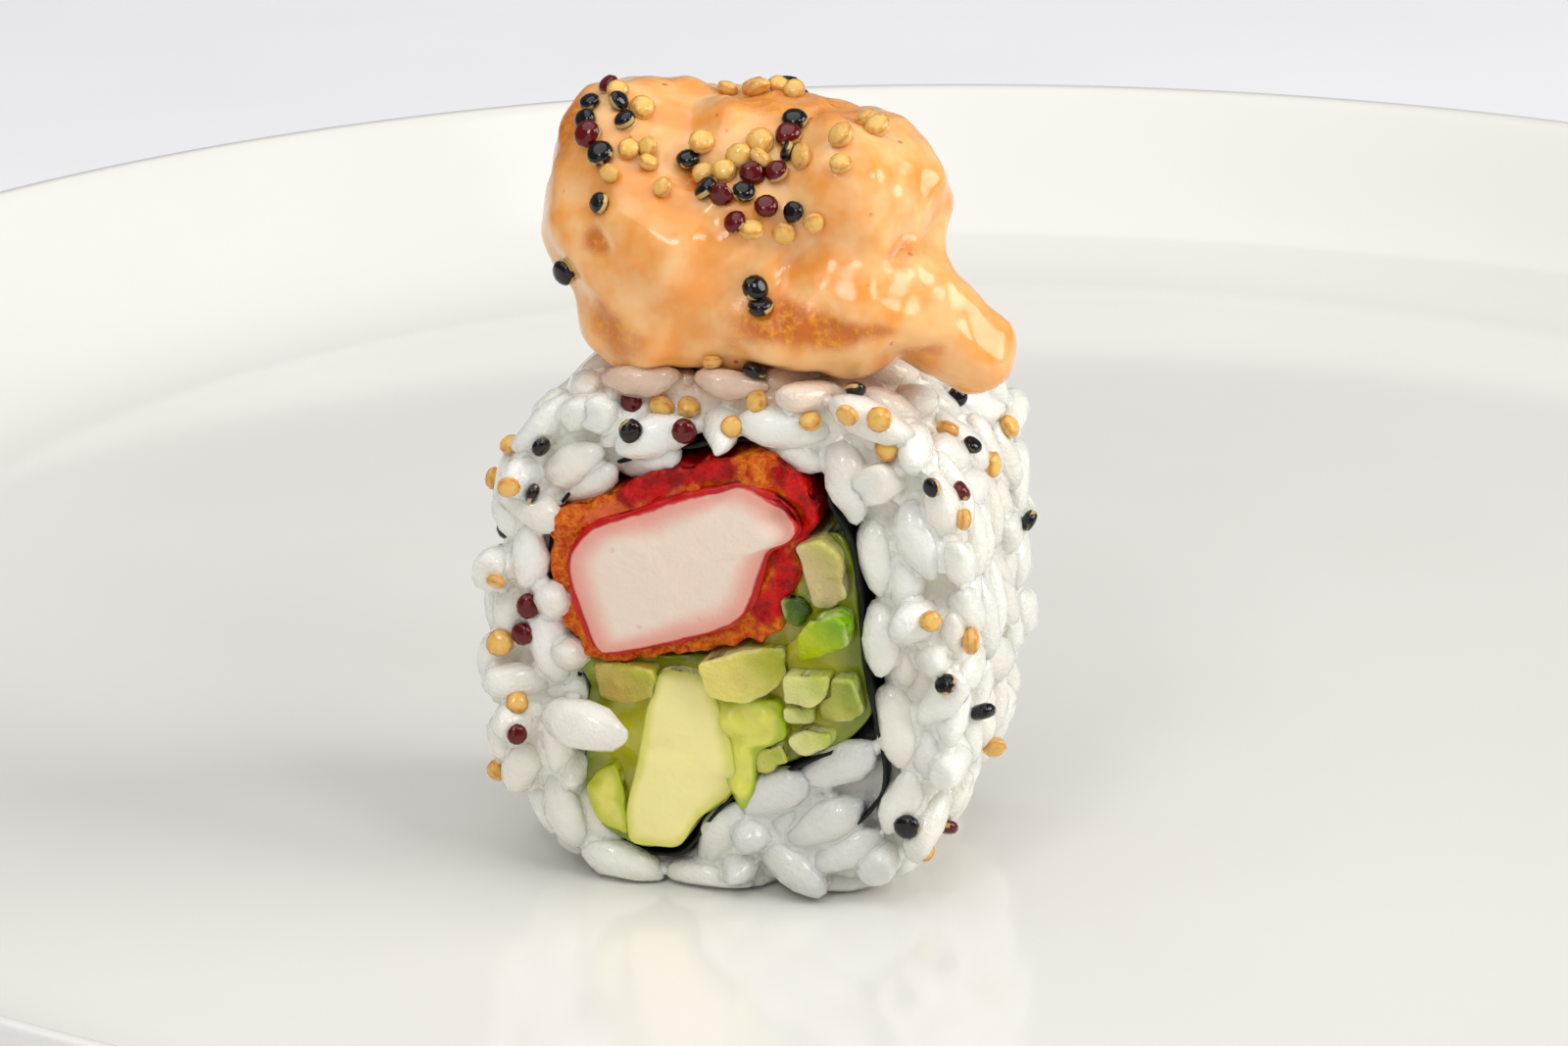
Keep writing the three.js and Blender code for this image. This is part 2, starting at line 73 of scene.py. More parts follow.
def srgb(red: int, green: int, blue: int) -> Colour:
    """The linear colour, with full alpha, of display values from 0 to 255."""
    shares = (red / 255, green / 255, blue / 255)
    return (*(s / 12.92 if s <= 0.04045 else ((s + 0.055) / 1.055) ** 2.4 for s in shares), 1.0)


# Node trees written as expressions


class Wire:
    """A node's output socket that Python arithmetic can use: each operator adds a Math node."""

    def __init__(self, graph: "Graph", socket: bpy.types.NodeSocket) -> None:
        """Keeps the graph and the socket."""
        self.graph = graph
        self.socket = socket

    def __add__(self, other: Value) -> "Wire":
        """Sum."""
        return self.graph.math("ADD", self, other)

    def __radd__(self, other: Value) -> "Wire":
        """Reflected sum."""
        return self.graph.math("ADD", other, self)

    def __sub__(self, other: Value) -> "Wire":
        """Difference."""
        return self.graph.math("SUBTRACT", self, other)

    def __rsub__(self, other: Value) -> "Wire":
        """Reflected difference."""
        return self.graph.math("SUBTRACT", other, self)

    def __mul__(self, other: Value) -> "Wire":
        """Product."""
        return self.graph.math("MULTIPLY", self, other)

    def __rmul__(self, other: Value) -> "Wire":
        """Reflected product."""
        return self.graph.math("MULTIPLY", other, self)

    def __pow__(self, other: Value) -> "Wire":
        """Power."""
        return self.graph.math("POWER", self, other)

    def __abs__(self) -> "Wire":
        """Size without sign."""
        return self.graph.math("ABSOLUTE", self)

    def at_least(self, other: Value) -> "Wire":
        """The larger of the two."""
        return self.graph.math("MAXIMUM", self, other)

    def at_most(self, other: Value) -> "Wire":
        """The smaller of the two."""
        return self.graph.math("MINIMUM", self, other)

    def ramp(self, low: float, high: float) -> "Wire":
        """Goes smoothly from 0 at low to 1 at high.

        Args:
            low: Value that gives 0.
            high: Value that gives 1; it may be the smaller one.

        Returns:
            The eased share.
        """
        settings = {"interpolation_type": "SMOOTHSTEP"}
        if low <= high:
            inputs = {"Value": self, "From Min": low, "From Max": high}
            return self.graph.node("ShaderNodeMapRange", settings, inputs)
        return 1.0 - self.ramp(high, low)


class Graph:
    """A node tree being built, for a material or for geometry."""

    def __init__(self, tree: bpy.types.NodeTree) -> None:
        """Keeps the tree."""
        self.tree = tree

    @staticmethod
    def _pick(sockets: Any, key: str | int) -> bpy.types.NodeSocket:
        """Finds a node's socket by number, identifier or name."""
        named = None if isinstance(key, int) else next((s for s in sockets if s.identifier == key), None)
        return named or sockets[key]

    def node(
        self,
        kind: str,
        settings: dict[str, Any] | None = None,
        inputs: dict[str | int, Any] | None = None,
        out: str | int | None = 0,
    ) -> Wire | None:
        """Adds a node.

        Args:
            kind: The node's type.
            settings: Its properties, set first.
            inputs: Values or wires for its sockets.
            out: The output that is returned, or None for a node without outputs.

        Returns:
            The chosen output.
        """
        made = self.tree.nodes.new(kind)
        for name, value in (settings or {}).items():
            setattr(made, name, value)
        for key, value in (inputs or {}).items():
            socket = self._pick(made.inputs, key)
            if isinstance(value, Wire):
                self.tree.links.new(value.socket, socket)
            else:
                socket.default_value = value
        return None if out is None else Wire(self, self._pick(made.outputs, out))

    def math(self, operation: str, first: Value, second: Value | None = None) -> Wire:
        """Adds a Math node.

        Args:
            operation: Its operation.
            first: First value.
            second: Second value, if it has one.

        Returns:
            The result.
        """
        inputs: dict[str | int, Any] = {0: first}
        if second is not None:
            inputs[1] = second
        return self.node("ShaderNodeMath", {"operation": operation}, inputs)

    def blend(self, share: Value, start: Any, end: Any) -> Wire:
        """Mixes two colours or wires: share 0 gives start, 1 gives end."""
        inputs = {"Factor_Float": share, "A_Color": start, "B_Color": end}
        return self.node("ShaderNodeMix", {"data_type": "RGBA"}, inputs, "Result_Color")

    def attribute(self, name: str) -> Wire:
        """A value that the mesh carries at its points."""
        return self.node("ShaderNodeAttribute", {"attribute_name": name}, out="Fac")

    def grain(
        self, pitch: float, detail: float = 2.0, roughness: float = 0.5, stretch: Place = (1.0, 1.0, 1.0)
    ) -> Wire:
        """Noise over the piece's own coordinates.

        Args:
            pitch: Size of its spots in millimetres.
            detail: Octaves.
            roughness: How much the finer octaves show.
            stretch: Factors on the three axes.

        Returns:
            Noise from 0 to 1.
        """
        place = self.node("ShaderNodeTexCoord", out="Object")
        spread = self.node("ShaderNodeMapping", inputs={"Vector": place, "Scale": stretch})
        inputs = {"Vector": spread, "Scale": 1 / (pitch * MM), "Detail": detail, "Roughness": roughness}
        return self.node("ShaderNodeTexNoise", inputs=inputs)

    def specks(self, pitch: float) -> Wire:
        """Distance from the middle of scattered cells, as a share of their pitch in millimetres."""
        inputs = {"Vector": self.node("ShaderNodeTexCoord", out="Object"), "Scale": 1 / (pitch * MM)}
        return self.node("ShaderNodeTexVoronoi", inputs=inputs, out="Distance")

    def bump(self, height: Wire, depth: float, strength: float = 1.0) -> Wire:
        """Relief for the Normal socket, from heights of 0 to 1 and a depth in millimetres."""
        inputs = {"Height": height, "Distance": depth * MM, "Strength": strength}
        return self.node("ShaderNodeBump", inputs=inputs)

    def stored(self, name: str, kind: str) -> Wire:
        """A value that the points of a geometry tree carry."""
        return self.node("GeometryNodeInputNamedAttribute", {"data_type": kind}, {"Name": name})

    def marked(self, mesh: Wire, name: str, value: Wire) -> Wire:
        """The mesh with a value kept at its points."""
        inputs = {"Geometry": mesh, "Name": name, "Value": value}
        return self.node("GeometryNodeStoreNamedAttribute", {"data_type": "FLOAT"}, inputs)

    def axes(self) -> tuple[Wire, Wire, Wire]:
        """The three coordinates of each point.

        Returns:
            x, y and z.
        """
        place = self.node("GeometryNodeInputPosition")
        parts = self.node("ShaderNodeSeparateXYZ", inputs={0: place}).socket.node
        return tuple(Wire(self, parts.outputs[i]) for i in range(3))

    def moved(self, mesh: Wire, x: Value, y: Value, z: Value) -> Wire:
        """The mesh with its points moved to the given coordinates."""
        spot = self.node("ShaderNodeCombineXYZ", inputs={0: x, 1: y, 2: z})
        return self.node("GeometryNodeSetPosition", inputs={"Geometry": mesh, "Position": spot})


# Finishes


def lit_inside(weight: float, radius: Place, depth: float) -> Sockets:
    """Shader sockets for food that light goes into, to a depth in millimetres."""
    return {"Subsurface Weight": weight, "Subsurface Radius": radius, "Subsurface Scale": depth * MM}


@dataclass(frozen=True)
class Finish:
    """A surface finish that becomes one material."""

    name: str

    def dress(self, graph: Graph) -> Sockets:
        """Says what the shader's sockets get: a constant or a wire by each one's name."""
        raise NotImplementedError

    def material(self) -> bpy.types.Material:
        """Builds the material.

        Returns:
            The material, with its nodes.
        """
        made = bpy.data.materials.get(self.name)
        if made is not None:
            return made
        made = bpy.data.materials.new(self.name)
        made.use_nodes = True
        made.node_tree.nodes.clear()
        graph = Graph(made.node_tree)
        surface = graph.node("ShaderNodeBsdfPrincipled", inputs=self.dress(graph))
        graph.node("ShaderNodeOutputMaterial", inputs={"Surface": surface}, out=None)
        return made


@dataclass(frozen=True)
class Glaze(Finish):
    """White porcelain glaze, slightly warm, with a faint pooling of tone."""

    light: Colour = srgb(236, 234, 229)
    pooled: Colour = srgb(230, 227, 221)

    def dress(self, graph: Graph) -> Sockets:
        """Glossy white with hardly visible unevenness.

        Args:
            graph: The material's nodes.

        Returns:
            Socket name to constant or wire.
        """
        pool = graph.grain(38.0, 3.0)
        ripple = graph.grain(9.0, 1.0)
        return {
            "Base Color": graph.blend(pool, self.light, self.pooled),
            "Roughness": 0.09 + 0.05 * pool,
            "Normal": graph.bump(ripple, 0.05, 0.25),
            "IOR": 1.5,
            "Specular IOR Level": 0.4,
        }


@dataclass(frozen=True)
class CookedRice(Finish):
    """Moist, translucent rice: each grain has its own tone, with a cloudy heart."""

    bright: Colour = srgb(255, 253, 243)
    dull: Colour = srgb(240, 231, 214)
    # Sauce-stained rice, also darkened as painted shade under the topping
    soaked_and_shaded: Colour = srgb(210, 164, 124)
    glassy: Colour = srgb(206, 208, 205)

    def dress(self, graph: Graph) -> Sockets:
        """White with soft clouding, wet gloss and fine skin relief.

        Args:
            graph: The material's nodes.

        Returns:
            Socket name to constant or wire.
        """
        tone = graph.attribute("shade")
        cloud = graph.grain(1.6, 3.0)
        skin = graph.grain(0.4, 3.0, 0.65)
        share = (0.7 * tone + 0.7 * cloud - 0.48).at_least(0.0).at_most(1.0)
        toned = graph.blend(share, self.bright, self.dull)
        tip = graph.attribute("tip").ramp(0.35, 1.0)
        clear = (0.6 * graph.attribute("glassy") + 0.35 * tip).at_most(1.0)
        rice = graph.blend(clear, toned, self.glassy)
        return {
            # The soaked tint is partly sauce that has run into the rice and partly painted shade under the
            # topping.
            "Base Color": graph.blend(0.7 * graph.attribute("soak"), rice, self.soaked_and_shaded),
            "Roughness": 0.12 + 0.18 * cloud,
            "Normal": graph.bump(skin + 0.8 * cloud, 0.18, 0.85),
            **lit_inside(0.45, (1.0, 0.93, 0.84), 0.6),
            "Coat Weight": 0.7,
            "Coat Roughness": 0.06,
            "IOR": 1.42,
        }


@dataclass(frozen=True)
class Seaweed(Finish):
    """Pressed seaweed sheet: nearly black, faintly green, with a crinkled sheen."""

    deep: Colour = srgb(12, 13, 10)
    green: Colour = srgb(30, 35, 22)

    def dress(self, graph: Graph) -> Sockets:
        """Black with greenish mottling and crinkles.

        Args:
            graph: The material's nodes.

        Returns:
            Socket name to constant or wire.
        """
        mottle = graph.grain(1.8, 4.0, 0.6)
        return {
            "Base Color": graph.blend(mottle.ramp(0.35, 0.8), self.deep, self.green),
            "Roughness": 0.35 + 0.3 * mottle,
            "Normal": graph.bump(graph.grain(0.7, 3.0), 0.15, 0.8),
            "Specular IOR Level": 0.3,
        }


@dataclass(frozen=True)
class Surimi(Finish):
    """White crab-stick meat that blushes to a red line at its rim."""

    white: Colour = srgb(246, 226, 209)
    blush: Colour = srgb(238, 166, 150)
    rim: Colour = srgb(206, 10, 16)
    pit: Colour = srgb(214, 170, 140)

    def dress(self, graph: Graph) -> Sockets:
        """White heart, blush and red rim, by the distance in from the outline.

        Args:
            graph: The material's nodes.

        Returns:
            Socket name to constant or wire.
        """
        depth = graph.attribute("inset") + 0.4 * (graph.grain(1.5, 3.0) - 0.5)
        grain = graph.grain(0.8, 3.0, 0.6)
        heart = graph.blend(depth.ramp(0.35, 2.8), self.blush, self.white)
        pits = graph.specks(2.4).ramp(0.16, 0.05) * graph.grain(3.0).ramp(0.5, 0.65)
        toned = graph.blend(0.35 * pits, heart, self.pit)
        return {
            "Base Color": graph.blend(depth.ramp(0.36, 0.12), toned, self.rim),
            "Roughness": 0.38 + 0.15 * grain,
            "Normal": graph.bump(grain - 0.7 * pits, 0.2, 0.75),
            **lit_inside(0.5, (1.0, 0.6, 0.45), 1.4),
            "Coat Weight": 0.12,
        }


@dataclass(frozen=True)
class RedSkin(Finish):
    """The crab stick's dyed skin: wet red with paler streaks."""

    red: Colour = srgb(192, 5, 6)
    pale: Colour = srgb(214, 34, 20)
    worn: Colour = srgb(226, 110, 86)

    def dress(self, graph: Graph) -> Sockets:
        """Red with streaks along the stick and a wet gloss.

        Args:
            graph: The material's nodes.

        Returns:
            Socket name to constant or wire.
        """
        streak = graph.grain(1.4, 3.0, 0.6, (1, 0.3, 1))
        worn = graph.grain(3.4, 3.0, 0.5).ramp(0.55, 0.75)
        dyed = graph.blend(streak.ramp(0.45, 0.8), self.red, self.pale)
        return {
            "Base Color": graph.blend(0.4 * worn, dyed, self.worn),
            "Roughness": 0.25 + 0.2 * streak,
            "Normal": graph.bump(streak, 0.25, 0.7),
            **lit_inside(0.2, (1.0, 0.2, 0.12), 0.8),
            "Coat Weight": 0.12,
            "Coat Roughness": 0.15,
            "Specular IOR Level": 0.3,
        }


@dataclass(frozen=True)
class FriedBatter(Finish):
    """Craggy fried batter, golden with browner hollows; wet red skin or pale flesh where it has come off."""

    golden: Colour = srgb(246, 140, 26)
    brown: Colour = srgb(194, 34, 0)
    red: Colour = srgb(220, 3, 0)
    dark_red: Colour = srgb(160, 0, 0)
    flesh: Colour = srgb(238, 112, 66)

    def dress(self, graph: Graph) -> Sockets:
        """Gold to brown with oily crags, and what shows under it.

        Args:
            graph: The material's nodes.

        Returns:
            Socket name to constant or wire.
        """
        crag = graph.grain(0.6, 4.0, 0.7)
        bare = graph.attribute("bare")
        fried = graph.blend(crag.ramp(0.7, 0.3), self.golden, self.brown)
        skin = graph.blend(graph.grain(1.3, 3.0).ramp(0.35, 0.65), self.dark_red, self.red)
        flesh = graph.blend(0.9 * graph.attribute("flesh"), fried, self.flesh)
        return {
            "Base Color": graph.blend(bare, flesh, skin),
            "Roughness": 0.42 + 0.2 * crag - 0.2 * bare,
            "Normal": graph.bump(crag, 0.5, 0.9),
            **lit_inside(0.15, (1.0, 0.5, 0.2), 0.8),
            "Coat Weight": 0.06 + 0.12 * bare,
            "Coat Roughness": 0.1,
            "Specular IOR Level": 0.22,
        }


@dataclass(frozen=True)
class AvocadoFlesh(Finish):
    """Avocado: creamy heart that turns green towards its rim."""

    heart: Colour = srgb(255, 240, 164)
    rim: Colour = srgb(222, 220, 106)
    reach: float = 1.5
    pitch: float = 1.9
    wet: float = 0.34

    def dress(self, graph: Graph) -> Sockets:
        """Cream to green by the distance in from the outline, with soft smears.

        Args:
            graph: The material's nodes.

        Returns:
            Socket name to constant or wire.
        """
        smear = graph.grain(self.pitch, 3.0, 0.55)
        depth = graph.attribute("inset") + 1.2 * (graph.grain(3.2, 2.0) - 0.5)
        return {
            "Base Color": graph.blend(depth.ramp(self.reach, 0.15), self.heart, self.rim),
            "Roughness": self.wet + 0.2 * smear,
            "Normal": graph.bump(smear + 0.25 * graph.grain(0.45, 2.0), 0.16 * self.pitch, 0.7),
            **lit_inside(0.4, (1.0, 0.9, 0.3), 1.2),
            "Coat Weight": 0.3,
            "Coat Roughness": 0.1,
        }


@dataclass(frozen=True)
class CucumberFlesh(Finish):
    """Wet cucumber: glassy pale green, greener along one side where the skin is near."""

    flesh: Colour = srgb(214, 208, 132)
    skin: Colour = srgb(120, 160, 40)
    edge_highlight: Colour = srgb(236, 236, 176)

    def dress(self, graph: Graph) -> Sockets:
        """Pale flesh to green skin along the piece's own skin share, with watery cells and a painted
        highlight in patches along the edges.

        Args:
            graph: The material's nodes.

        Returns:
            Socket name to constant or wire.
        """
        cells = graph.grain(0.8, 3.0, 0.6)
        share = graph.attribute("skin") + 0.35 * (graph.grain(1.6, 2.0) - 0.5)
        # Painted highlight: paler colour in patches along the cut's edges, where wet edges would catch the
        # light.
        edge = graph.attribute("inset").ramp(0.45, 0.0) * graph.grain(1.3, 2.0).ramp(0.42, 0.62)
        toned = graph.blend(share.ramp(0.25, 1.0), self.flesh, self.skin)
        return {
            "Base Color": graph.blend(0.4 * edge, toned, self.edge_highlight),
            "Roughness": 0.12 + 0.2 * cells,
            "Normal": graph.bump(cells + 0.8 * graph.grain(0.28, 2.0), 0.3, 0.85),
            **lit_inside(0.8, (0.9, 1.0, 0.35), 1.8),
            "Coat Weight": 0.3,
            "Coat Roughness": 0.04,
            "Specular IOR Level": 0.3,
        }


@dataclass(frozen=True)
class CreamySauce(Finish):
    """Glossy peach-orange sauce, thin over browned crust in places, with red flecks."""

    cream: Colour = srgb(255, 200, 136)
    deep: Colour = srgb(244, 160, 70)
    crust: Colour = srgb(198, 98, 0)
    # Lighter crumb tone, partly a painted highlight on the crust's crags
    crumb_highlight: Colour = srgb(236, 156, 24)
    fleck: Colour = srgb(206, 66, 22)

    def dress(self, graph: Graph) -> Sockets:
        """Sauce over crust by the mesh's own crust share.

        Args:
            graph: The material's nodes.

        Returns:
            Socket name to constant or wire.
        """
        drift = graph.grain(4.5, 3.0, 0.55)
        crust = graph.attribute("crust")
        ragged = (crust + 0.7 * (graph.grain(1.8, 3.0, 0.6) - 0.5)).ramp(0.1, 0.9)
        sauce = graph.blend(drift.ramp(0.34, 0.72), self.cream, self.deep)
        fleck = graph.specks(2.6).ramp(0.13, 0.08) * graph.grain(2.2).ramp(0.5, 0.58)
        flecked = graph.blend(0.8 * fleck, sauce, self.fleck)
        crag = graph.grain(0.9, 3.0, 0.6)
        # Lighter on the crags' peaks: partly the crumbs' own tone, partly a painted highlight.
        browned = graph.blend(crag.ramp(0.42, 0.7), self.crust, self.crumb_highlight)
        return {
            "Base Color": graph.blend(0.9 * ragged, flecked, browned),
            "Roughness": 0.2 + 0.18 * ragged,
            "Normal": graph.bump(drift + ragged * crag, 0.3, 0.6),
            **lit_inside(0.4, (1.0, 0.55, 0.25), 1.2),
            "Coat Weight": 0.35 - 0.3 * ragged,
            "Coat Roughness": 0.1,
            "Specular IOR Level": 0.35,
        }


@dataclass(frozen=True)
class CookedQuinoa(Finish):
    """Quinoa seeds in three colours, each with a paler germ ring round its rim."""

    black: Colour = srgb(14, 9, 10)
    red: Colour = srgb(96, 2, 4)
    golden: Colour = srgb(200, 126, 34)
    pale: Colour = srgb(238, 194, 106)
    ring: Colour = srgb(242, 206, 132)

    def dress(self, graph: Graph) -> Sockets:
        """Body colour by the seed's kind, and a germ ring by the distance from the rim.

        Args:
            graph: The material's nodes.

        Returns:
            Socket name to constant or wire.
        """
        kind = graph.attribute("kind")
        mottle = graph.grain(0.5, 2.0)
        dark = graph.blend(kind.ramp(0.2, 0.8), self.black, self.red)
        rim = graph.attribute("rim")
        pale = kind.ramp(1.2, 1.8)
        gold = graph.blend((0.6 * mottle + 0.5 * rim).ramp(0.3, 0.8), self.golden, self.pale)
        body = graph.blend(pale, dark, gold)
        band = rim.ramp(0.34, 0.2) * graph.grain(1.5).ramp(0.5, 0.56).at_least(0.7 * pale)
        return {
            "Base Color": graph.blend(0.7 * band, body, self.ring),
            "Roughness": 0.12 + 0.12 * mottle,
            "Normal": graph.bump(rim.ramp(0.1, 0.3) + 0.3 * mottle, 0.08, 0.7),
            "Coat Weight": 0.6,
            "Coat Roughness": 0.03,
            "Specular IOR Level": 0.15,
            **lit_inside(0.3, (1.0, 0.7, 0.3), 0.5),
        }


@dataclass(frozen=True)
class PaleTable(Finish):
    """Matt pale table top."""

    tone: Colour = srgb(252, 252, 253)
    haze: Colour = srgb(244, 244, 247)

    def dress(self, graph: Graph) -> Sockets:
        """Plain and matt, with a trace of unevenness."""
        haze = graph.grain(60.0)
        return {"Base Color": graph.blend(haze, self.tone, self.haze), "Roughness": 0.6}


# Outlines, noise and meshes


# Points in each stretch of a smooth curve before it is evened
CURVE_STEPS = 24

# Shift between patterns of noise, and the hash of its lattice
NOISE_SHIFT = 17.37
NOISE_WAVES = (127.1, 311.7, 74.7)
NOISE_HEIGHT = 43758.5453


class Pattern(IntEnum):
    """Which pattern of noise shapes what."""

    FRAY = 3
    CRINKLE = 4
    BARE_PATCHES = 17
    PATCH_EDGES = 18
    BLOTCHES = 61
    FOLDS = 63
    CREASES = 64
    FINE_CRAGS = 65
    FLOW = 66
    CRAGS = 69
    PACKED_RICE = 71
    WORN_EDGES = 81


def lengths(rows: np.ndarray) -> np.ndarray:
    """The length of each row."""
    return np.linalg.norm(rows, axis=1)


def unit(rows: np.ndarray) -> np.ndarray:
    """The rows brought to length 1."""
    return rows / lengths(rows)[:, None]


def evened(line: np.ndarray, count: int, closed: bool) -> np.ndarray:
    """Even points along a line of close points.

    Args:
        line: The line's points; a closed one ends where it starts.
        count: How many points come back.
        closed: Whether the line returns to its start.

    Returns:
        An array of count rows.
    """
    run = np.concatenate([[0], np.cumsum(lengths(np.diff(line, axis=0)))])
    stops = np.linspace(0, run[-1], count, endpoint=not closed)
    return np.stack([np.interp(stops, run, line[:, k]) for k in range(line.shape[1])], 1)


def smooth_line(points: Sequence[Sequence[float]], count: int, closed: bool) -> np.ndarray:
    """Even points along a smooth curve through the given ones.

    Args:
        points: Points that the curve passes.
        count: How many points come back.
        closed: Whether the curve returns to its start.

    Returns:
        An array of count rows.
    """
    given = np.array(points, float)
    if closed:
        control = np.vstack([given[-1:], given, given[:2]])
    else:
        control = np.vstack([2 * given[:1] - given[1:2], given, 2 * given[-1:] - given[-2:-1]])
    t = np.linspace(0, 1, CURVE_STEPS, endpoint=False)[:, None]
    dense = []
    for a, b, c, d in zip(control[:-3], control[1:-2], control[2:-1], control[3:]):
        square = 2 * a - 5 * b + 4 * c - d
        cubic = 3 * b - a - 3 * c + d
        dense.append(0.5 * (2 * b + (c - a) * t + square * t**2 + cubic * t**3))
    return evened(np.vstack([*dense, given[:1] if closed else given[-1:]]), count, closed)


def soft_noise(points: np.ndarray, pitch: float, seed: int) -> np.ndarray:
    """Smooth repeatable noise.

    Args:
        points: Places, one a row.
        pitch: Spacing of the bumps in millimetres.
        seed: Which pattern.

    Returns:
        Values from -1 to 1.
    """
    cell = points / pitch + NOISE_SHIFT * seed
    base = np.floor(cell)
    ease = (cell - base) ** 2 * (3 - 2 * (cell - base))
    total = np.zeros(len(points))
    for corner in itertools.product((0, 1), repeat=3):
        wave = np.sin((base + corner) @ np.array(NOISE_WAVES)) * NOISE_HEIGHT
        weight = np.prod(np.where(np.array(corner) == 1, ease, 1 - ease), axis=1)
        total += weight * (wave - np.floor(wave))
    return 2 * total - 1


def pushed(points: np.ndarray, reach: float, pitch: float, seed: int) -> np.ndarray:
    """Points pushed about by noise, up to a reach in millimetres, by patterns from seed on."""
    return points + reach * np.column_stack([soft_noise(points, pitch, seed + k) for k in range(3)])


def step_between(low: float, high: float, values: np.ndarray) -> np.ndarray:
    """Smooth step: shares that go from 0 at low to 1 at high."""
    share = np.clip((values - low) / (high - low), 0, 1)
    return share * share * (3 - 2 * share)


def inside_outline(points: np.ndarray, outline: np.ndarray) -> np.ndarray:
    """Tests which points lie in a closed outline.

    Args:
        points: Places, two numbers a row.
        outline: The outline's corners.

    Returns:
        True for each point inside.
    """
    x, z = points[:, 0:1], points[:, 1:2]
    a, b = outline, np.roll(outline, -1, axis=0)
    rise = np.where(np.abs(b[:, 1] - a[:, 1]) < TINY, TINY, b[:, 1] - a[:, 1])
    crosses = ((a[:, 1] > z) != (b[:, 1] > z)) & (x < (b[:, 0] - a[:, 0]) * (z - a[:, 1]) / rise + a[:, 0])
    return crosses.sum(1) % 2 == 1


def line_distance(points: np.ndarray, line: np.ndarray) -> np.ndarray:
    """Distance of each point from the nearest of a line's close points."""
    return np.linalg.norm(points[:, None] - line[None], axis=2).min(1)


def keep_values(mesh: bpy.types.Mesh, values: dict[str, np.ndarray]) -> None:
    """Stores numbers at a mesh's points.

    Args:
        mesh: The mesh.
        values: Numbers by name, one a point.
    """
    for key, numbers in values.items():
        layer = mesh.attributes.new(key, "FLOAT", "POINT")
        layer.data.foreach_set("value", np.asarray(numbers, np.float32))


def new_piece(
    name: str,
    points: np.ndarray,
    faces: Sequence[Sequence[int]],
    place: Matrix,
    values: dict[str, np.ndarray] | None = None,
) -> bpy.types.Object:
    """Makes a mesh object in the row frame.

    Args:
        name: The piece's name.
        points: Its vertices in millimetres, in the frame that place turns into the row frame.
        faces: Vertex numbers of each face.
        place: Matrix to the row frame.
        values: Numbers to keep at the points.

    Returns:
        The object, at the origin and shaded smooth.
    """
    mesh = bpy.data.meshes.new(name)
    mesh.from_pydata(np.asarray(points, float).tolist(), [], [list(f) for f in faces])
    mesh.transform(place)
    mesh.polygons.foreach_set("use_smooth", np.ones(len(mesh.polygons), bool))
    keep_values(mesh, values or {})
    mesh.update()
    made = bpy.data.objects.new(name, mesh)
    bpy.context.scene.collection.objects.link(made)
    return made


def ring_faces(rings: int, sides: int, closed: bool = True) -> list[tuple[int, int, int, int]]:
    """Quads between rings of points that follow one another.

    Args:
        rings: How many rings.
        sides: Points in each.
        closed: Whether each ring closes on itself.

    Returns:
        The quads' vertex numbers.
    """
    around = sides if closed else sides - 1
    return [
        (r * sides + i, r * sides + (i + 1) % sides, (r + 1) * sides + (i + 1) % sides, (r + 1) * sides + i)
        for r in range(rings - 1)
        for i in range(around)
    ]


def end_fans(rings: int, sides: int) -> list[tuple[int, int, int]]:
    """Triangles that close the first and the last ring.

    Args:
        rings: How many rings.
        sides: Points in each.

    Returns:
        The triangles' vertex numbers; the two poles come right after the rings' points.
    """
    last, pole = (rings - 1) * sides, rings * sides
    fans = []
    for i in range(sides):
        after = (i + 1) % sides
        fans.append((pole, after, i))
        fans.append((pole + 1, last + i, last + after))
    return fans


def bake_modifiers(piece: bpy.types.Object) -> None:
    """Turns a piece and its modifiers into a plain mesh.

    Args:
        piece: The object, which ends without modifiers.
    """
    bpy.context.view_layer.update()
    baked = bpy.data.meshes.new_from_object(piece.evaluated_get(bpy.context.evaluated_depsgraph_get()))
    piece.modifiers.clear()
    piece.data = baked
    baked.name = piece.name


def face_outward(piece: bpy.types.Object) -> None:
    """Turns the faces of a closed mesh outward.

    Args:
        piece: The object to mend.
    """
    shell = bmesh.new()
    shell.from_mesh(piece.data)
    bmesh.ops.recalc_face_normals(shell, faces=shell.faces)
    shell.to_mesh(piece.data)
    shell.free()


def settle(
    piece: bpy.types.Object, finish: Finish, nodes: Sequence[str] = ()
) -> bpy.types.Object:
    """Dresses a finished mesh and ties it to the part.

    Args:
        piece: The object.
        finish: What it is covered with.
        nodes: The part's nodes that it stands for.

    Returns:
        The piece.
    """
    piece.data.materials.clear()
    piece.data.materials.append(finish.material())
    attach(piece, BODY)
    if nodes:
        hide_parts(*nodes)
    triangles = sum(len(p.vertices) - 2 for p in piece.data.polygons)
    log.info("%s: %d triangles, stands for %s", piece.name, triangles, ", ".join(nodes) or "nothing")
    return piece


# The object


@dataclass(frozen=True)
class RollFrame:
    """Where the roll stands on the plate."""

    place: Place = (-22.0, -45.0, 6.0)
    turn_deg: float = -14.0

    def matrix(self) -> Matrix:
        """Matrix from the roll's millimetres to the row frame's metres."""
        turn = Matrix.Rotation(math.radians(self.turn_deg), 4, "Z")
        return Matrix.Scale(MM, 4) @ Matrix.Translation(self.place) @ turn

    def point(self, x: float, y: float, z: float) -> Vector:
        """A place on the roll, in the row frame."""
        return self.matrix() @ Vector((x, y, z))


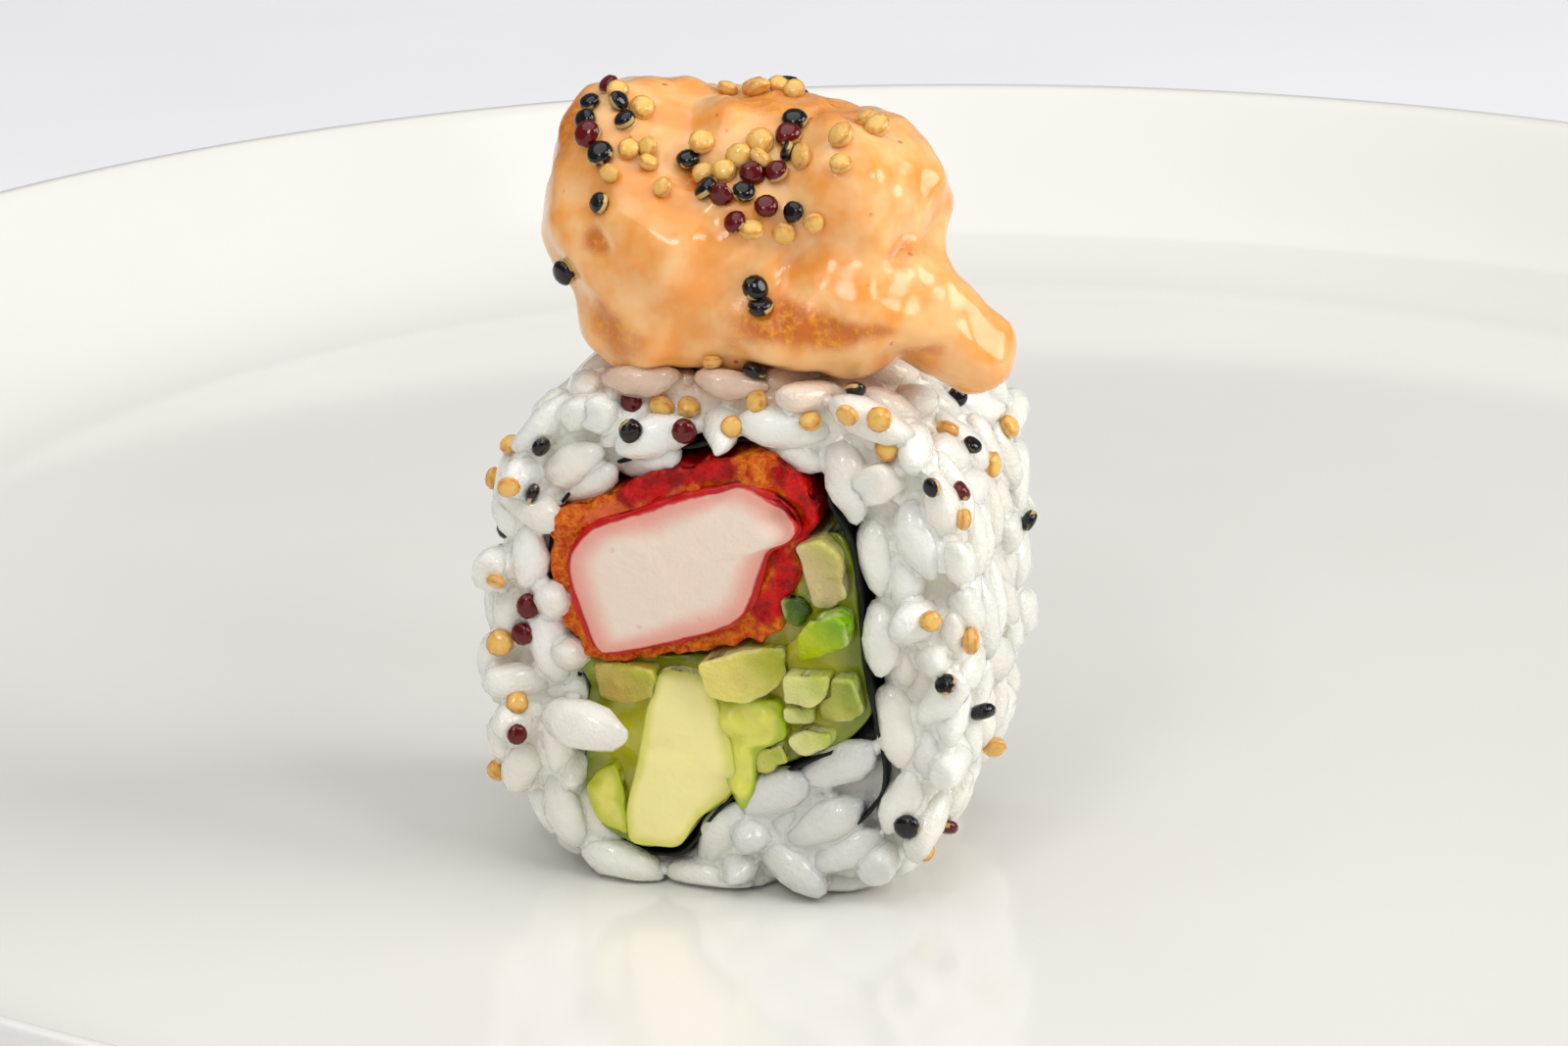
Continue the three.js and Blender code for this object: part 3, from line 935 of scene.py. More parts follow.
@dataclass
class Plate:
    """Round white plate: flat well, rim that sweeps up, foot ring."""

    radius: float = 140.0
    height: float = 22.0
    wall: float = 4.0
    well_radius: float = 108.0
    well_top: float = 6.0
    well_stops: tuple[float, ...] = (90.0, 60.0, 30.0, 8.0)
    under_stops: tuple[float, ...] = (8.0, 40.0, 72.0)
    under_rise: float = 0.4
    rim_pulls: tuple[Flat, Flat, Flat] = ((16.0, 0.0), (-10.0, -7.0), (-1.0, 0.0))
    rim_share: float = 0.985
    rim_steps: int = 30
    rim_lean: float = 1.0
    lip: Line = ((0.0, -2.2), (0.02, -1.2), (-0.15, -0.5), (-0.55, -0.1))
    foot_radius: float = 84.0
    foot_width: float = 6.0
    foot_inside: Line = ((-2.8, 2.4), (-2.2, 2.2), (-0.4, 0.25), (0.2, 0.0))
    foot_outside: Line = ((-0.2, 0.0), (0.4, 0.25), (2.2, 2.0), (2.8, 2.05))
    sides: int = 224
    finish: Finish = Glaze("porcelain_glaze")

    def sweep(self) -> np.ndarray:
        """The rim's upper line from the well to just short of the lip.

        Returns:
            Radius and height, two numbers a row.
        """
        start = np.array([self.well_radius, self.well_top])
        edge = np.array([self.radius, self.height])
        first, second, end = np.array(self.rim_pulls)
        t = np.linspace(0, self.rim_share, self.rim_steps)[:, None]
        rising = 3 * (1 - t) ** 2 * t * (start + first) + 3 * (1 - t) * t**2 * (edge + second)
        return (1 - t) ** 3 * start + rising + t**3 * (edge + end)

    def profile(self) -> np.ndarray:
        """The section from the axis under the plate, round the lip, to the axis on top.

        Returns:
            Radius and height, two numbers a row.
        """
        sweep = self.sweep()
        inner = self.foot_radius - self.foot_width / 2
        outer = self.foot_radius + self.foot_width / 2
        flat = [(r, self.well_top - self.wall + self.under_rise) for r in self.under_stops]
        foot = [(inner + away, z) for away, z in self.foot_inside]
        foot += [(outer + away, z) for away, z in self.foot_outside]
        under = sweep[:-2] + np.array([self.rim_lean, -self.wall])
        lip = [(self.radius + away, self.height + rise) for away, rise in self.lip]
        well = [(r, self.well_top) for r in self.well_stops]
        return np.array([*flat, *foot, *under, *lip, *sweep[::-1], *well])

    def build(self) -> None:
        """Turns the section round the axis and glazes it."""
        profile = self.profile()
        angle = np.linspace(0, 2 * math.pi, self.sides, endpoint=False)
        circle = np.stack([np.cos(angle), np.sin(angle)], 1)
        rings = [np.column_stack([r * circle, np.full(self.sides, z)]) for r, z in profile]
        poles = [(0, 0, profile[0][1]), (0, 0, profile[-1][1])]
        faces = [*ring_faces(len(profile), self.sides), *end_fans(len(profile), self.sides)]
        piece = new_piece("plate_glazed", np.vstack([*rings, poles]), faces, Matrix.Scale(MM, 4))
        settle(piece, self.finish, ["plate"])


@dataclass
class Section:
    """The roll's squarish section and its length, shared by everything in the roll."""

    width: float = 40.0
    height: float = 43.4
    sink: float = 1.3
    length: float = 26.0
    squareness: float = 2.9
    outline_steps: int = 180
    gap: float = 0.3

    @property
    def near(self) -> float:
        """Where the near cut lies along the roll."""
        return -self.length / 2

    @property
    def far(self) -> float:
        """Where the far cut lies along the roll."""
        return self.length / 2

    @property
    def half(self) -> Flat:
        """Half width and half height of the section before it is pressed flat."""
        return self.width / 2, (self.height + self.sink) / 2

    @property
    def middle(self) -> float:
        """Height of the section's middle."""
        return (self.height - self.sink) / 2

    def distance(self, x: np.ndarray, z: np.ndarray) -> np.ndarray:
        """Distance from the outline across the cut, negative inside.

        Args:
            x: Places across.
            z: Places up.

        Returns:
            Signed distances, close to true near the outline.
        """
        a, b = self.half
        power = np.abs(x / a) ** self.squareness + np.abs((z - self.middle) / b) ** self.squareness
        return (power ** (1 / self.squareness) - 1) * a

    def bulged(self, wave: np.ndarray) -> np.ndarray:
        """A sine or cosine pushed out to the section's squarish outline."""
        return np.sign(wave) * np.abs(wave) ** (2 / self.squareness)

    def ring(self, count: int, inset: float) -> tuple[np.ndarray, np.ndarray]:
        """Even points round the outline, and their outward directions.

        Args:
            count: How many.
            inset: How far in from the outline.

        Returns:
            Places and directions, two numbers a row.
        """
        a, b = self.half[0] - inset, self.half[1] - inset
        angle = np.linspace(0, 2 * math.pi, self.outline_steps, endpoint=False)
        across, up = self.bulged(np.cos(angle)), self.bulged(np.sin(angle))
        outline = np.stack([a * across, self.middle + b * up], 1)
        places = smooth_line(outline, count, True)
        along = unit(np.roll(places, -1, axis=0) - np.roll(places, 1, axis=0))
        return places, np.stack([along[:, 1], -along[:, 0]], 1)


@dataclass
class Nori:
    """The seaweed sheet: from its tucked-in end, round the filling, to its lapped end."""

    section: Section
    roll: RollFrame
    thick: float = 0.26
    steps: int = 260
    rows: int = 22
    lap_point: int = 21
    sunk: float = 0.1
    lap_sunk: float = 1.2
    lap_left: Flat = (-3.0, -6.0)
    lap_top: Flat = (33.5, 35.5)
    lap_tail: Flat = (0.965, 0.985)
    fray: float = 0.5
    fray_pitch: float = 1.1
    fray_power: int = 12
    crinkle: float = 0.12
    crinkle_pitch: float = 3.4
    line: Line = (
        (10.0, 13.4), (6.0, 11.4), (2.6, 9.7), (-0.9, 6.4), (-3.6, 2.9), (-8.0, 2.7), (-11.3, 5.2),
        (-12.2, 10.0), (-11.9, 16.5), (-13.4, 21.5), (-14.3, 26.5), (-13.6, 31.2), (-10.0, 34.6),
        (-3.2, 37.0), (3.0, 38.1), (7.3, 37.2), (9.0, 33.5), (10.7, 29.5), (11.2, 25.0), (11.6, 20.5),
        (12.4, 16.5), (13.2, 12.5), (13.0, 9.6), (11.2, 7.0), (8.8, 5.4),
    )
    finish: Finish = Seaweed("seaweed_sheet")

    def path(self, count: int) -> np.ndarray:
        """The sheet's line across the cut as close points."""
        return smooth_line(self.line, count, False)

    def room(self, count: int) -> np.ndarray:
        """The closed outline of what the sheet wraps."""
        return smooth_line(self.line[: self.lap_point + 1], count, True)

    def build(self) -> None:
        """Makes the crinkled sheet with ragged edges and gives it its thickness."""
        path = self.path(self.steps)
        along = unit(np.gradient(path, axis=0))
        across = np.stack([-along[:, 1], along[:, 0]], 1)
        lapped = np.maximum(step_between(*self.lap_left, path[:, 0]), step_between(*self.lap_top, path[:, 1]))
        lapped = np.maximum(lapped, step_between(*self.lap_tail, np.linspace(0, 1, self.steps)))
        points = []
        for row in np.linspace(-1, 1, self.rows):
            spot = np.stack([path[:, 0], np.full(self.steps, row * self.section.length / 2), path[:, 1]], 1)
            ragged = self.fray * soft_noise(spot, self.fray_pitch, Pattern.FRAY) * abs(row) ** self.fray_power
            ragged -= (self.sunk + self.lap_sunk * lapped) * row
            fold = self.crinkle * soft_noise(spot, self.crinkle_pitch, Pattern.CRINKLE)
            points.append(spot + np.column_stack([across[:, 0] * fold, ragged, across[:, 1] * fold]))
        faces = ring_faces(self.rows, self.steps, False)
        piece = new_piece("nori_sheet", np.vstack(points), faces, self.roll.matrix())
        solid = piece.modifiers.new("thickness", "SOLIDIFY")
        solid.thickness = self.thick * MM
        solid.offset = 0.0
        bake_modifiers(piece)
        settle(piece, self.finish, ["nori"])


@dataclass
class CutPrism:
    """A piece of filling that runs through the roll, with soft-edged, slightly uneven cuts.

    Bulges are round swellings of the cuts: place across the cut, radius and height, hollow if negative.
    """

    name: str
    outline: np.ndarray
    near: float
    far: float
    roll: RollFrame
    edge: float = 0.5
    crown: float = 0.25
    rough: float = 0.12
    rough_pitch: float = 2.0
    side_rough: float = 0.1
    side_reach: float = 1.6
    rings: int = 14
    rows: int = 12
    seed: int = 1
    gather: float = 1.6
    slant: Flat = (0.0, 0.0)
    bulges: tuple[Bulge, ...] = ()

    def cap(self, cut: float, toward: float) -> list[tuple[np.ndarray, np.ndarray]]:
        """Rings of one cut, from its edge to its middle.

        Args:
            cut: Where the cut lies along the roll.
            toward: -1 at the near cut, 1 at the far cut.

        Returns:
            Each ring's points, and their distances in from the outline.
        """
        heart = self.outline.mean(0)
        reach = lengths(self.outline - heart)
        rings = []
        for step in np.linspace(0, 1, self.rings, endpoint=False):
            share = 1 - step**self.gather
            depth = (1 - share) * reach
            lost = np.clip(1 - depth / self.edge, 0, 1)
            lift = self.crown * (1 - share**2) - self.edge * (1 - np.sqrt(1 - lost**2))
            flat = heart + (self.outline - heart) * share
            for spot, radius, height in self.bulges:
                lift = lift + height * step_between(radius, 0.0, lengths(flat - spot))
            rings.append((np.column_stack([flat[:, 0], cut + toward * lift, flat[:, 1]]), depth))
        return rings

    def roughen(self, points: np.ndarray, inset: np.ndarray, on_cut: np.ndarray) -> np.ndarray:
        """Makes the cuts and the sides uneven.

        Args:
            points: The smooth points.
            inset: Their distances in from the outline.
            on_cut: 1 for points on a cut, 0 for points on the sides.

        Returns:
            The uneven points.
        """
        fine = self.rough_pitch / 2
        bump = soft_noise(points, self.rough_pitch, self.seed) + 0.5 * soft_noise(points, fine, self.seed + 1)
        away = points[:, [0, 2]] - self.outline.mean(0)
        away /= lengths(away)[:, None] + TINY
        toward = np.where(points[:, 1] < (self.near + self.far) / 2, -1.0, 1.0)
        sideways = self.side_rough * bump * step_between(self.side_reach, 0.0, inset)
        return points + np.column_stack(
            [away[:, 0] * sideways, on_cut * toward * self.rough * bump, away[:, 1] * sideways]
        )

    def build(
        self,
        skin_from: Flat = (0.0, 1.0),
        marks: Callable[[np.ndarray], dict[str, np.ndarray]] | None = None,
    ) -> bpy.types.Object:
        """Makes the mesh, with each point's distance in from the outline and share of skin.

        Args:
            skin_from: Direction across the cut in which the piece's skin side lies.
            marks: Further values by the points' places.

        Returns:
            The object, not yet dressed.
        """
        sides = len(self.outline)
        still = np.zeros(sides)
        along = [
            (np.column_stack([self.outline[:, 0], np.full(sides, y), self.outline[:, 1]]), still)
            for y in np.linspace(self.near + self.edge, self.far - self.edge, self.rows)
        ]
        rings = [*self.cap(self.near, -1.0)[::-1], *along, *self.cap(self.far, 1.0)]
        inset = np.concatenate([depth for _, depth in rings])
        on_cut = np.repeat([1.0] * self.rings + [0.0] * self.rows + [1.0] * self.rings, sides)
        points = self.roughen(np.vstack([ring for ring, _ in rings]), inset, on_cut)
        faces = [*ring_faces(len(rings), sides), *end_fans(len(rings), sides)]
        points = np.vstack([points, points[:sides].mean(0), points[-sides:].mean(0)])
        middle, half = (self.near + self.far) / 2, (self.far - self.near) / 2
        lean = (points[:, [0, 2]] - self.outline.mean(0)) @ np.array(self.slant)
        points[:, 1] += lean * (points[:, 1] - middle) / half
        deepest = inset.max()
        facing = points[:, [0, 2]] @ np.array(skin_from)
        values = {
            "inset": np.concatenate([inset, [deepest, deepest]]),
            "skin": (facing - facing.min()) / max(float(np.ptp(facing)), TINY),
        }
        values.update(marks(points) if marks else {})
        made = new_piece(self.name, points, faces, self.roll.matrix(), values)
        face_outward(made)
        return made


@dataclass
class CrabStick:
    """Fried crab stick: white meat in a thin red skin, and craggy batter that has come off in places.

    Where the batter has come off, the red of the skin shows (bare runs) or pale flesh (flesh run).
    """

    section: Section
    roll: RollFrame
    batter_line: Line = (
        (-13.7, 30.6), (-12.6, 31.7), (-8.9, 33.1), (-4.9, 35.3), (0.6, 36.9), (3.6, 37.4), (5.6, 36.3),
        (7.7, 33.4), (7.2, 31.0), (6.0, 29.8), (6.6, 27.4), (5.4, 25.2), (4.8, 22.9), (1.6, 21.5),
        (-5.0, 19.8), (-9.6, 19.1), (-12.0, 20.6), (-13.6, 23.4), (-14.0, 27.0),
    )
    meat_line: Line = (
        (-12.1, 28.1), (-10.5, 30.3), (-6.8, 31.9), (-3.0, 33.5), (0.1, 34.4), (2.0, 35.0), (3.8, 34.3),
        (5.2, 33.2), (6.4, 31.8), (5.8, 30.7), (4.2, 29.8), (3.6, 28.2), (2.6, 25.1), (1.6, 23.7),
        (-0.2, 22.6), (-5.0, 21.0), (-8.9, 20.0), (-10.1, 20.4), (-11.4, 23.3), (-12.2, 25.9),
    )
    skin_thick: float = 0.24
    batter_proud: Flat = (0.1, 0.1)
    skin_proud: Flat = (0.75, 0.6)
    meat_proud: Flat = (1.0, 0.85)
    notch: Flat = (4.7, 32.3)
    bare_runs: tuple[Line, ...] = (
        ((-7.4, 33.2), (-4.9, 34.5), (-2.4, 35.5), (0.4, 36.0)),
        ((5.2, 36.2), (6.6, 34.4), (7.4, 32.6), (6.8, 31.0)),
        ((4.7, 29.3), (5.2, 27.6), (4.9, 25.9), (3.6, 24.6)),
    )
    bare_width: float = 1.5
    flesh_run: Line = ((-10.6, 31.0), (-8.6, 31.9), (-6.0, 32.9), (-3.6, 33.9))
    flesh_width: float = 1.0
    run_steps: int = 40
    run_wander: tuple[Flat, Flat] = ((0.35, 0.9), (0.3, 0.5))
    batter_steps: int = 260
    meat_steps: int = 150

    def marks(self, points: np.ndarray) -> dict[str, np.ndarray]:
        """Where red skin and pale flesh show instead of batter.

        Args:
            points: Places on the batter.

        Returns:
            Shares from 0 to 1 by name.
        """
        flat = points[:, [0, 2]]
        (broad, broad_pitch), (fine, fine_pitch) = self.run_wander
        wander = broad * soft_noise(points, broad_pitch, Pattern.BARE_PATCHES)
        wander += fine * soft_noise(points, fine_pitch, Pattern.PATCH_EDGES)
        runs = [line_distance(flat, smooth_line(run, self.run_steps, False)) for run in self.bare_runs]
        flesh = line_distance(flat, smooth_line(self.flesh_run, self.run_steps, False)) + wander
        return {
            "bare": step_between(self.bare_width, 0.5 * self.bare_width, np.min(runs, axis=0) + wander),
            "flesh": step_between(self.flesh_width, 0.3 * self.flesh_width, flesh),
        }

    def build(self) -> None:
        """Makes and dresses the batter, the skin and the meat."""
        near, far = self.section.near, self.section.far
        batter = CutPrism(
            "crab_batter", smooth_line(self.batter_line, self.batter_steps, True),
            near - self.batter_proud[0], far + self.batter_proud[1], self.roll,
            edge=0.4, crown=0.0, rough=0.36, rough_pitch=1.1, side_rough=0.34, rings=30, rows=24, seed=11,
            gather=1.2,
            bulges=(
                ((2.6, 35.9), 2.2, 0.9), ((-12.4, 30.4), 1.8, 0.6), ((4.2, 23.4), 1.8, 0.4),
                (self.notch, 2.1, -2.0),
            ),
        )
        settle(batter.build(marks=self.marks), FriedBatter("fried_batter"), ["crab_stick"])
        meat_line = smooth_line(self.meat_line, self.meat_steps, True)
        along = np.roll(meat_line, -1, axis=0) - np.roll(meat_line, 1, axis=0)
        out = np.column_stack([-along[:, 1], along[:, 0]]) / lengths(along)[:, None]
        skin = CutPrism(
            "crab_skin", meat_line + self.skin_thick * out,
            near - self.skin_proud[0], far + self.skin_proud[1], self.roll,
            edge=0.3, crown=0.1, rough=0.1, rough_pitch=1.8, side_rough=0.22, seed=13,
            bulges=((self.notch, 2.1, -2.2),),
        )
        settle(skin.build(), RedSkin("crab_red_skin"))
        meat = CutPrism(
            "crab_meat", meat_line, near - self.meat_proud[0], far + self.meat_proud[1], self.roll,
            edge=0.5, crown=0.35, rough=0.12, rough_pitch=3.0, side_rough=0.06, rings=22, seed=15,
            bulges=(((4.8, 32.3), 1.7, -1.1),),
        )
        settle(meat.build(), Surimi("surimi_meat"))


@dataclass(frozen=True)
class AvocadoCut:
    """One piece of avocado: its cut, how far its ends stand out, how uneven its cuts are and its finish."""

    name: str
    line: Line
    finish: AvocadoFlesh
    out: float
    back: float
    rough: float
    pitch: float
    bulges: tuple[Bulge, ...]


@dataclass(frozen=True)
class CucumberCut:
    """One cucumber baton: its cut, how far its ends stand out and its tints."""

    line: Line
    out: float
    back: float
    flesh: Colour = srgb(222, 222, 146)
    skin: Colour = srgb(186, 198, 80)


@dataclass
class Filling:
    """Avocado and cucumber pieces, each with its own cut, ends and tint."""

    section: Section
    roll: RollFrame
    avocado_cuts: tuple[AvocadoCut, ...] = (
        AvocadoCut(
            "avocado_slice",
            (
                (-5.0, 18.9), (-1.4, 18.6), (0.2, 15.6), (1.2, 11.4), (0.9, 8.6), (-2.0, 6.1), (-3.4, 3.7),
                (-7.6, 3.7), (-7.9, 6.4), (-6.9, 11.3), (-6.1, 15.0),
            ),
            AvocadoFlesh("avocado_cream"), out=0.6, back=-0.3, rough=0.12, pitch=2.8,
            bulges=(
                ((-3.0, 19.0), 4.2, -1.5), ((-5.6, 12.1), 1.1, -0.2), ((-4.4, 12.4), 1.1, -0.2),
                ((-3.2, 12.5), 1.1, -0.18), ((0.4, 8.4), 3.0, -0.7),
            ),
        ),
        AvocadoCut(
            "avocado_mash",
            (
                (-0.7, 17.0), (2.2, 17.3), (4.9, 17.0), (5.4, 15.0), (5.4, 13.8), (3.1, 12.6), (2.7, 8.6),
                (1.8, 7.2), (0.9, 8.3), (0.0, 11.7), (-0.8, 14.2),
            ),
            AvocadoFlesh("avocado_green", srgb(226, 224, 96), srgb(170, 190, 10), 1.3, 1.5, 0.1),
            out=0.35, back=0.4, rough=0.3, pitch=1.5,
            bulges=(
                ((0.9, 15.2), 1.9, 0.8), ((3.6, 15.5), 1.8, 0.6), ((1.8, 9.2), 1.3, 0.5),
                ((1.6, 12.2), 1.2, 0.3),
            ),
        ),
        AvocadoCut(
            "avocado_side",
            ((-11.4, 8.2), (-10.2, 9.9), (-8.8, 10.6), (-8.0, 8.6), (-7.6, 4.2), (-10.2, 5.4)),
            AvocadoFlesh("avocado_rim", srgb(226, 220, 104), srgb(186, 194, 30), 1.4, 1.5, 0.16),
            out=0.5, back=0.2, rough=0.25, pitch=1.6, bulges=(((-9.6, 8.2), 1.6, 0.4),),
        ),
    )
    cucumber_cuts: tuple[CucumberCut, ...] = (
        CucumberCut(
            ((-10.6, 18.5), (-8.3, 19.1), (-5.3, 18.9), (-5.3, 16.5), (-8.0, 15.5), (-10.2, 15.8)),
            0.35, 0.3, srgb(206, 184, 92), srgb(188, 182, 58),
        ),
        CucumberCut(
            ((-1.4, 20.2), (1.9, 21.2), (5.2, 21.5), (5.4, 19.2), (3.8, 17.5), (2.2, 16.9), (-0.7, 17.6)),
            1.3, -0.4, srgb(230, 216, 120), srgb(176, 182, 34),
        ),
        CucumberCut(
            ((6.3, 30.3), (8.3, 31.2), (9.9, 29.8), (10.2, 26.2), (8.9, 24.9), (7.5, 25.2), (6.9, 27.6)),
            0.8, 0.2, srgb(222, 202, 150), srgb(196, 186, 104),
        ),
        CucumberCut(
            ((6.1, 20.0), (6.2, 22.6), (7.6, 24.4), (9.6, 25.2), (10.6, 24.8), (10.7, 22.6), (8.4, 21.2)),
            1.0, 0.5, srgb(200, 216, 0), srgb(126, 176, 0),
        ),
        # Fifth baton: its dark greens are painted shade of the gap under the crab stick.
        CucumberCut(
            ((4.9, 25.6), (6.6, 25.8), (7.4, 24.6), (6.5, 23.2), (5.2, 23.8)),
            0.4, -0.2, srgb(84, 116, 0), srgb(44, 74, 0),
        ),
        CucumberCut(((5.4, 19.5), (9.1, 19.8), (8.7, 17.9), (7.8, 17.1), (5.3, 17.2)), 1.4, 0.1),
        CucumberCut(
            ((9.3, 19.6), (11.1, 19.8), (11.8, 16.8), (10.7, 15.7), (8.0, 15.3), (7.9, 16.9), (8.8, 17.8)),
            0.6, -0.5, srgb(206, 208, 104), srgb(140, 156, 28),
        ),
        CucumberCut(((5.3, 16.7), (7.6, 16.8), (7.6, 15.4), (5.5, 15.2)), 0.7, 0.4),
        CucumberCut(
            ((5.7, 14.1), (6.8, 15.0), (9.3, 14.9), (9.3, 13.9), (7.4, 12.7), (6.1, 12.9)), 1.2, -0.1
        ),
        CucumberCut(
            ((3.0, 12.5), (5.1, 13.7), (5.7, 12.2), (4.0, 10.7), (2.9, 10.7)),
            0.7, 0.3, srgb(206, 206, 100), srgb(168, 178, 50),
        ),
    )
    cucumber_skin: Flat = (0.8, 0.6)
    pulp_line: Line = (
        (-11.2, 19.2), (-3.0, 19.8), (4.8, 21.4), (7.2, 24.6), (7.9, 30.6), (10.2, 30.2), (11.0, 25.0),
        (11.4, 20.5), (12.2, 16.7), (9.6, 13.4), (5.8, 11.7), (2.4, 10.0), (-1.1, 7.0), (-3.8, 3.6),
        (-7.9, 3.4), (-10.7, 5.6), (-11.6, 10.0), (-11.2, 16.0),
    )
    pulp_sunk: Flat = (0.7, 0.45)
    pulp_steps: int = 160
    avocado_corner: float = 0.9
    avocado_steps: int = 120
    cucumber_corner: float = 0.4
    cucumber_steps: int = 72
    lean: float = 0.3
    lean_up: float = 0.12
    lean_turns: Flat = (2.1, 1.7)
    corner_steps: int = 8
    corner_share: float = 0.45

    def eased(self, corners: Line, radius: float, count: int) -> np.ndarray:
        """A straight-sided outline with eased corners, as even points.

        Args:
            corners: The outline's corners.
            radius: How far from a corner the easing starts.
            count: How many points come back.

        Returns:
            The outline's points.
        """
        given = np.array(corners, float)
        t = np.linspace(0, 1, self.corner_steps)[:, None]
        dense = []
        for i, corner in enumerate(given):
            ends = []
            for other in (given[i - 1], given[(i + 1) % len(given)]):
                share = min(self.corner_share, radius / np.linalg.norm(other - corner))
                ends.append(corner + (other - corner) * share)
            dense.append((1 - t) ** 2 * ends[0] + 2 * (1 - t) * t * corner + t**2 * ends[1])
        return evened(np.vstack([*dense, dense[0][:1]]), count, True)

    def avocado(self) -> None:
        """Makes and dresses the slice, the mash beside it, the side piece and the pulp behind them."""
        near, far = self.section.near, self.section.far
        for n, cut in enumerate(self.avocado_cuts):
            prism = CutPrism(
                f"{cut.name}_flesh", self.eased(cut.line, self.avocado_corner, self.avocado_steps),
                near - cut.out, far + cut.back, self.roll,
                edge=0.3, crown=0.08, rough=cut.rough, rough_pitch=cut.pitch, side_rough=0.12, rings=24,
                seed=21 + 2 * n, bulges=cut.bulges,
            )
            settle(prism.build(), cut.finish, [cut.name])
        pulp = CutPrism(
            "avocado_pulp", smooth_line(self.pulp_line, self.pulp_steps, True),
            near + self.pulp_sunk[0], far - self.pulp_sunk[1], self.roll,
            edge=0.3, crown=0.0, rough=0.4, rough_pitch=1.9, side_rough=0.0, rings=34, seed=31,
        )
        # The pulp's dark olive greens are partly avocado colour and partly painted shade in the gaps between
        # the batons.
        finish = AvocadoFlesh("avocado_pulp", srgb(198, 194, 40), srgb(128, 142, 8), 3.5, 1.6, 0.12)
        settle(pulp.build(), finish)

    def cucumber(self) -> None:
        """Makes and dresses the batons, each leaning its own way."""
        near, far = self.section.near, self.section.far
        across, up = self.lean_turns
        for n, cut in enumerate(self.cucumber_cuts, 1):
            prism = CutPrism(
                f"cucumber_baton_{n}", self.eased(cut.line, self.cucumber_corner, self.cucumber_steps),
                near - cut.out, far + cut.back, self.roll,
                edge=0.3, crown=0.15, rough=0.2, rough_pitch=1.4, side_rough=0.16, rings=12, seed=41 + 2 * n,
                slant=(self.lean * math.sin(across * n), self.lean_up + self.lean * math.cos(up * n)),
            )
            finish = CucumberFlesh(f"cucumber_flesh_{n}", cut.flesh, cut.skin)
            settle(prism.build(self.cucumber_skin), finish, [f"cucumber_{n}"])

    def build(self) -> None:
        """Makes and dresses every piece of avocado and cucumber."""
        self.avocado()
        self.cucumber()


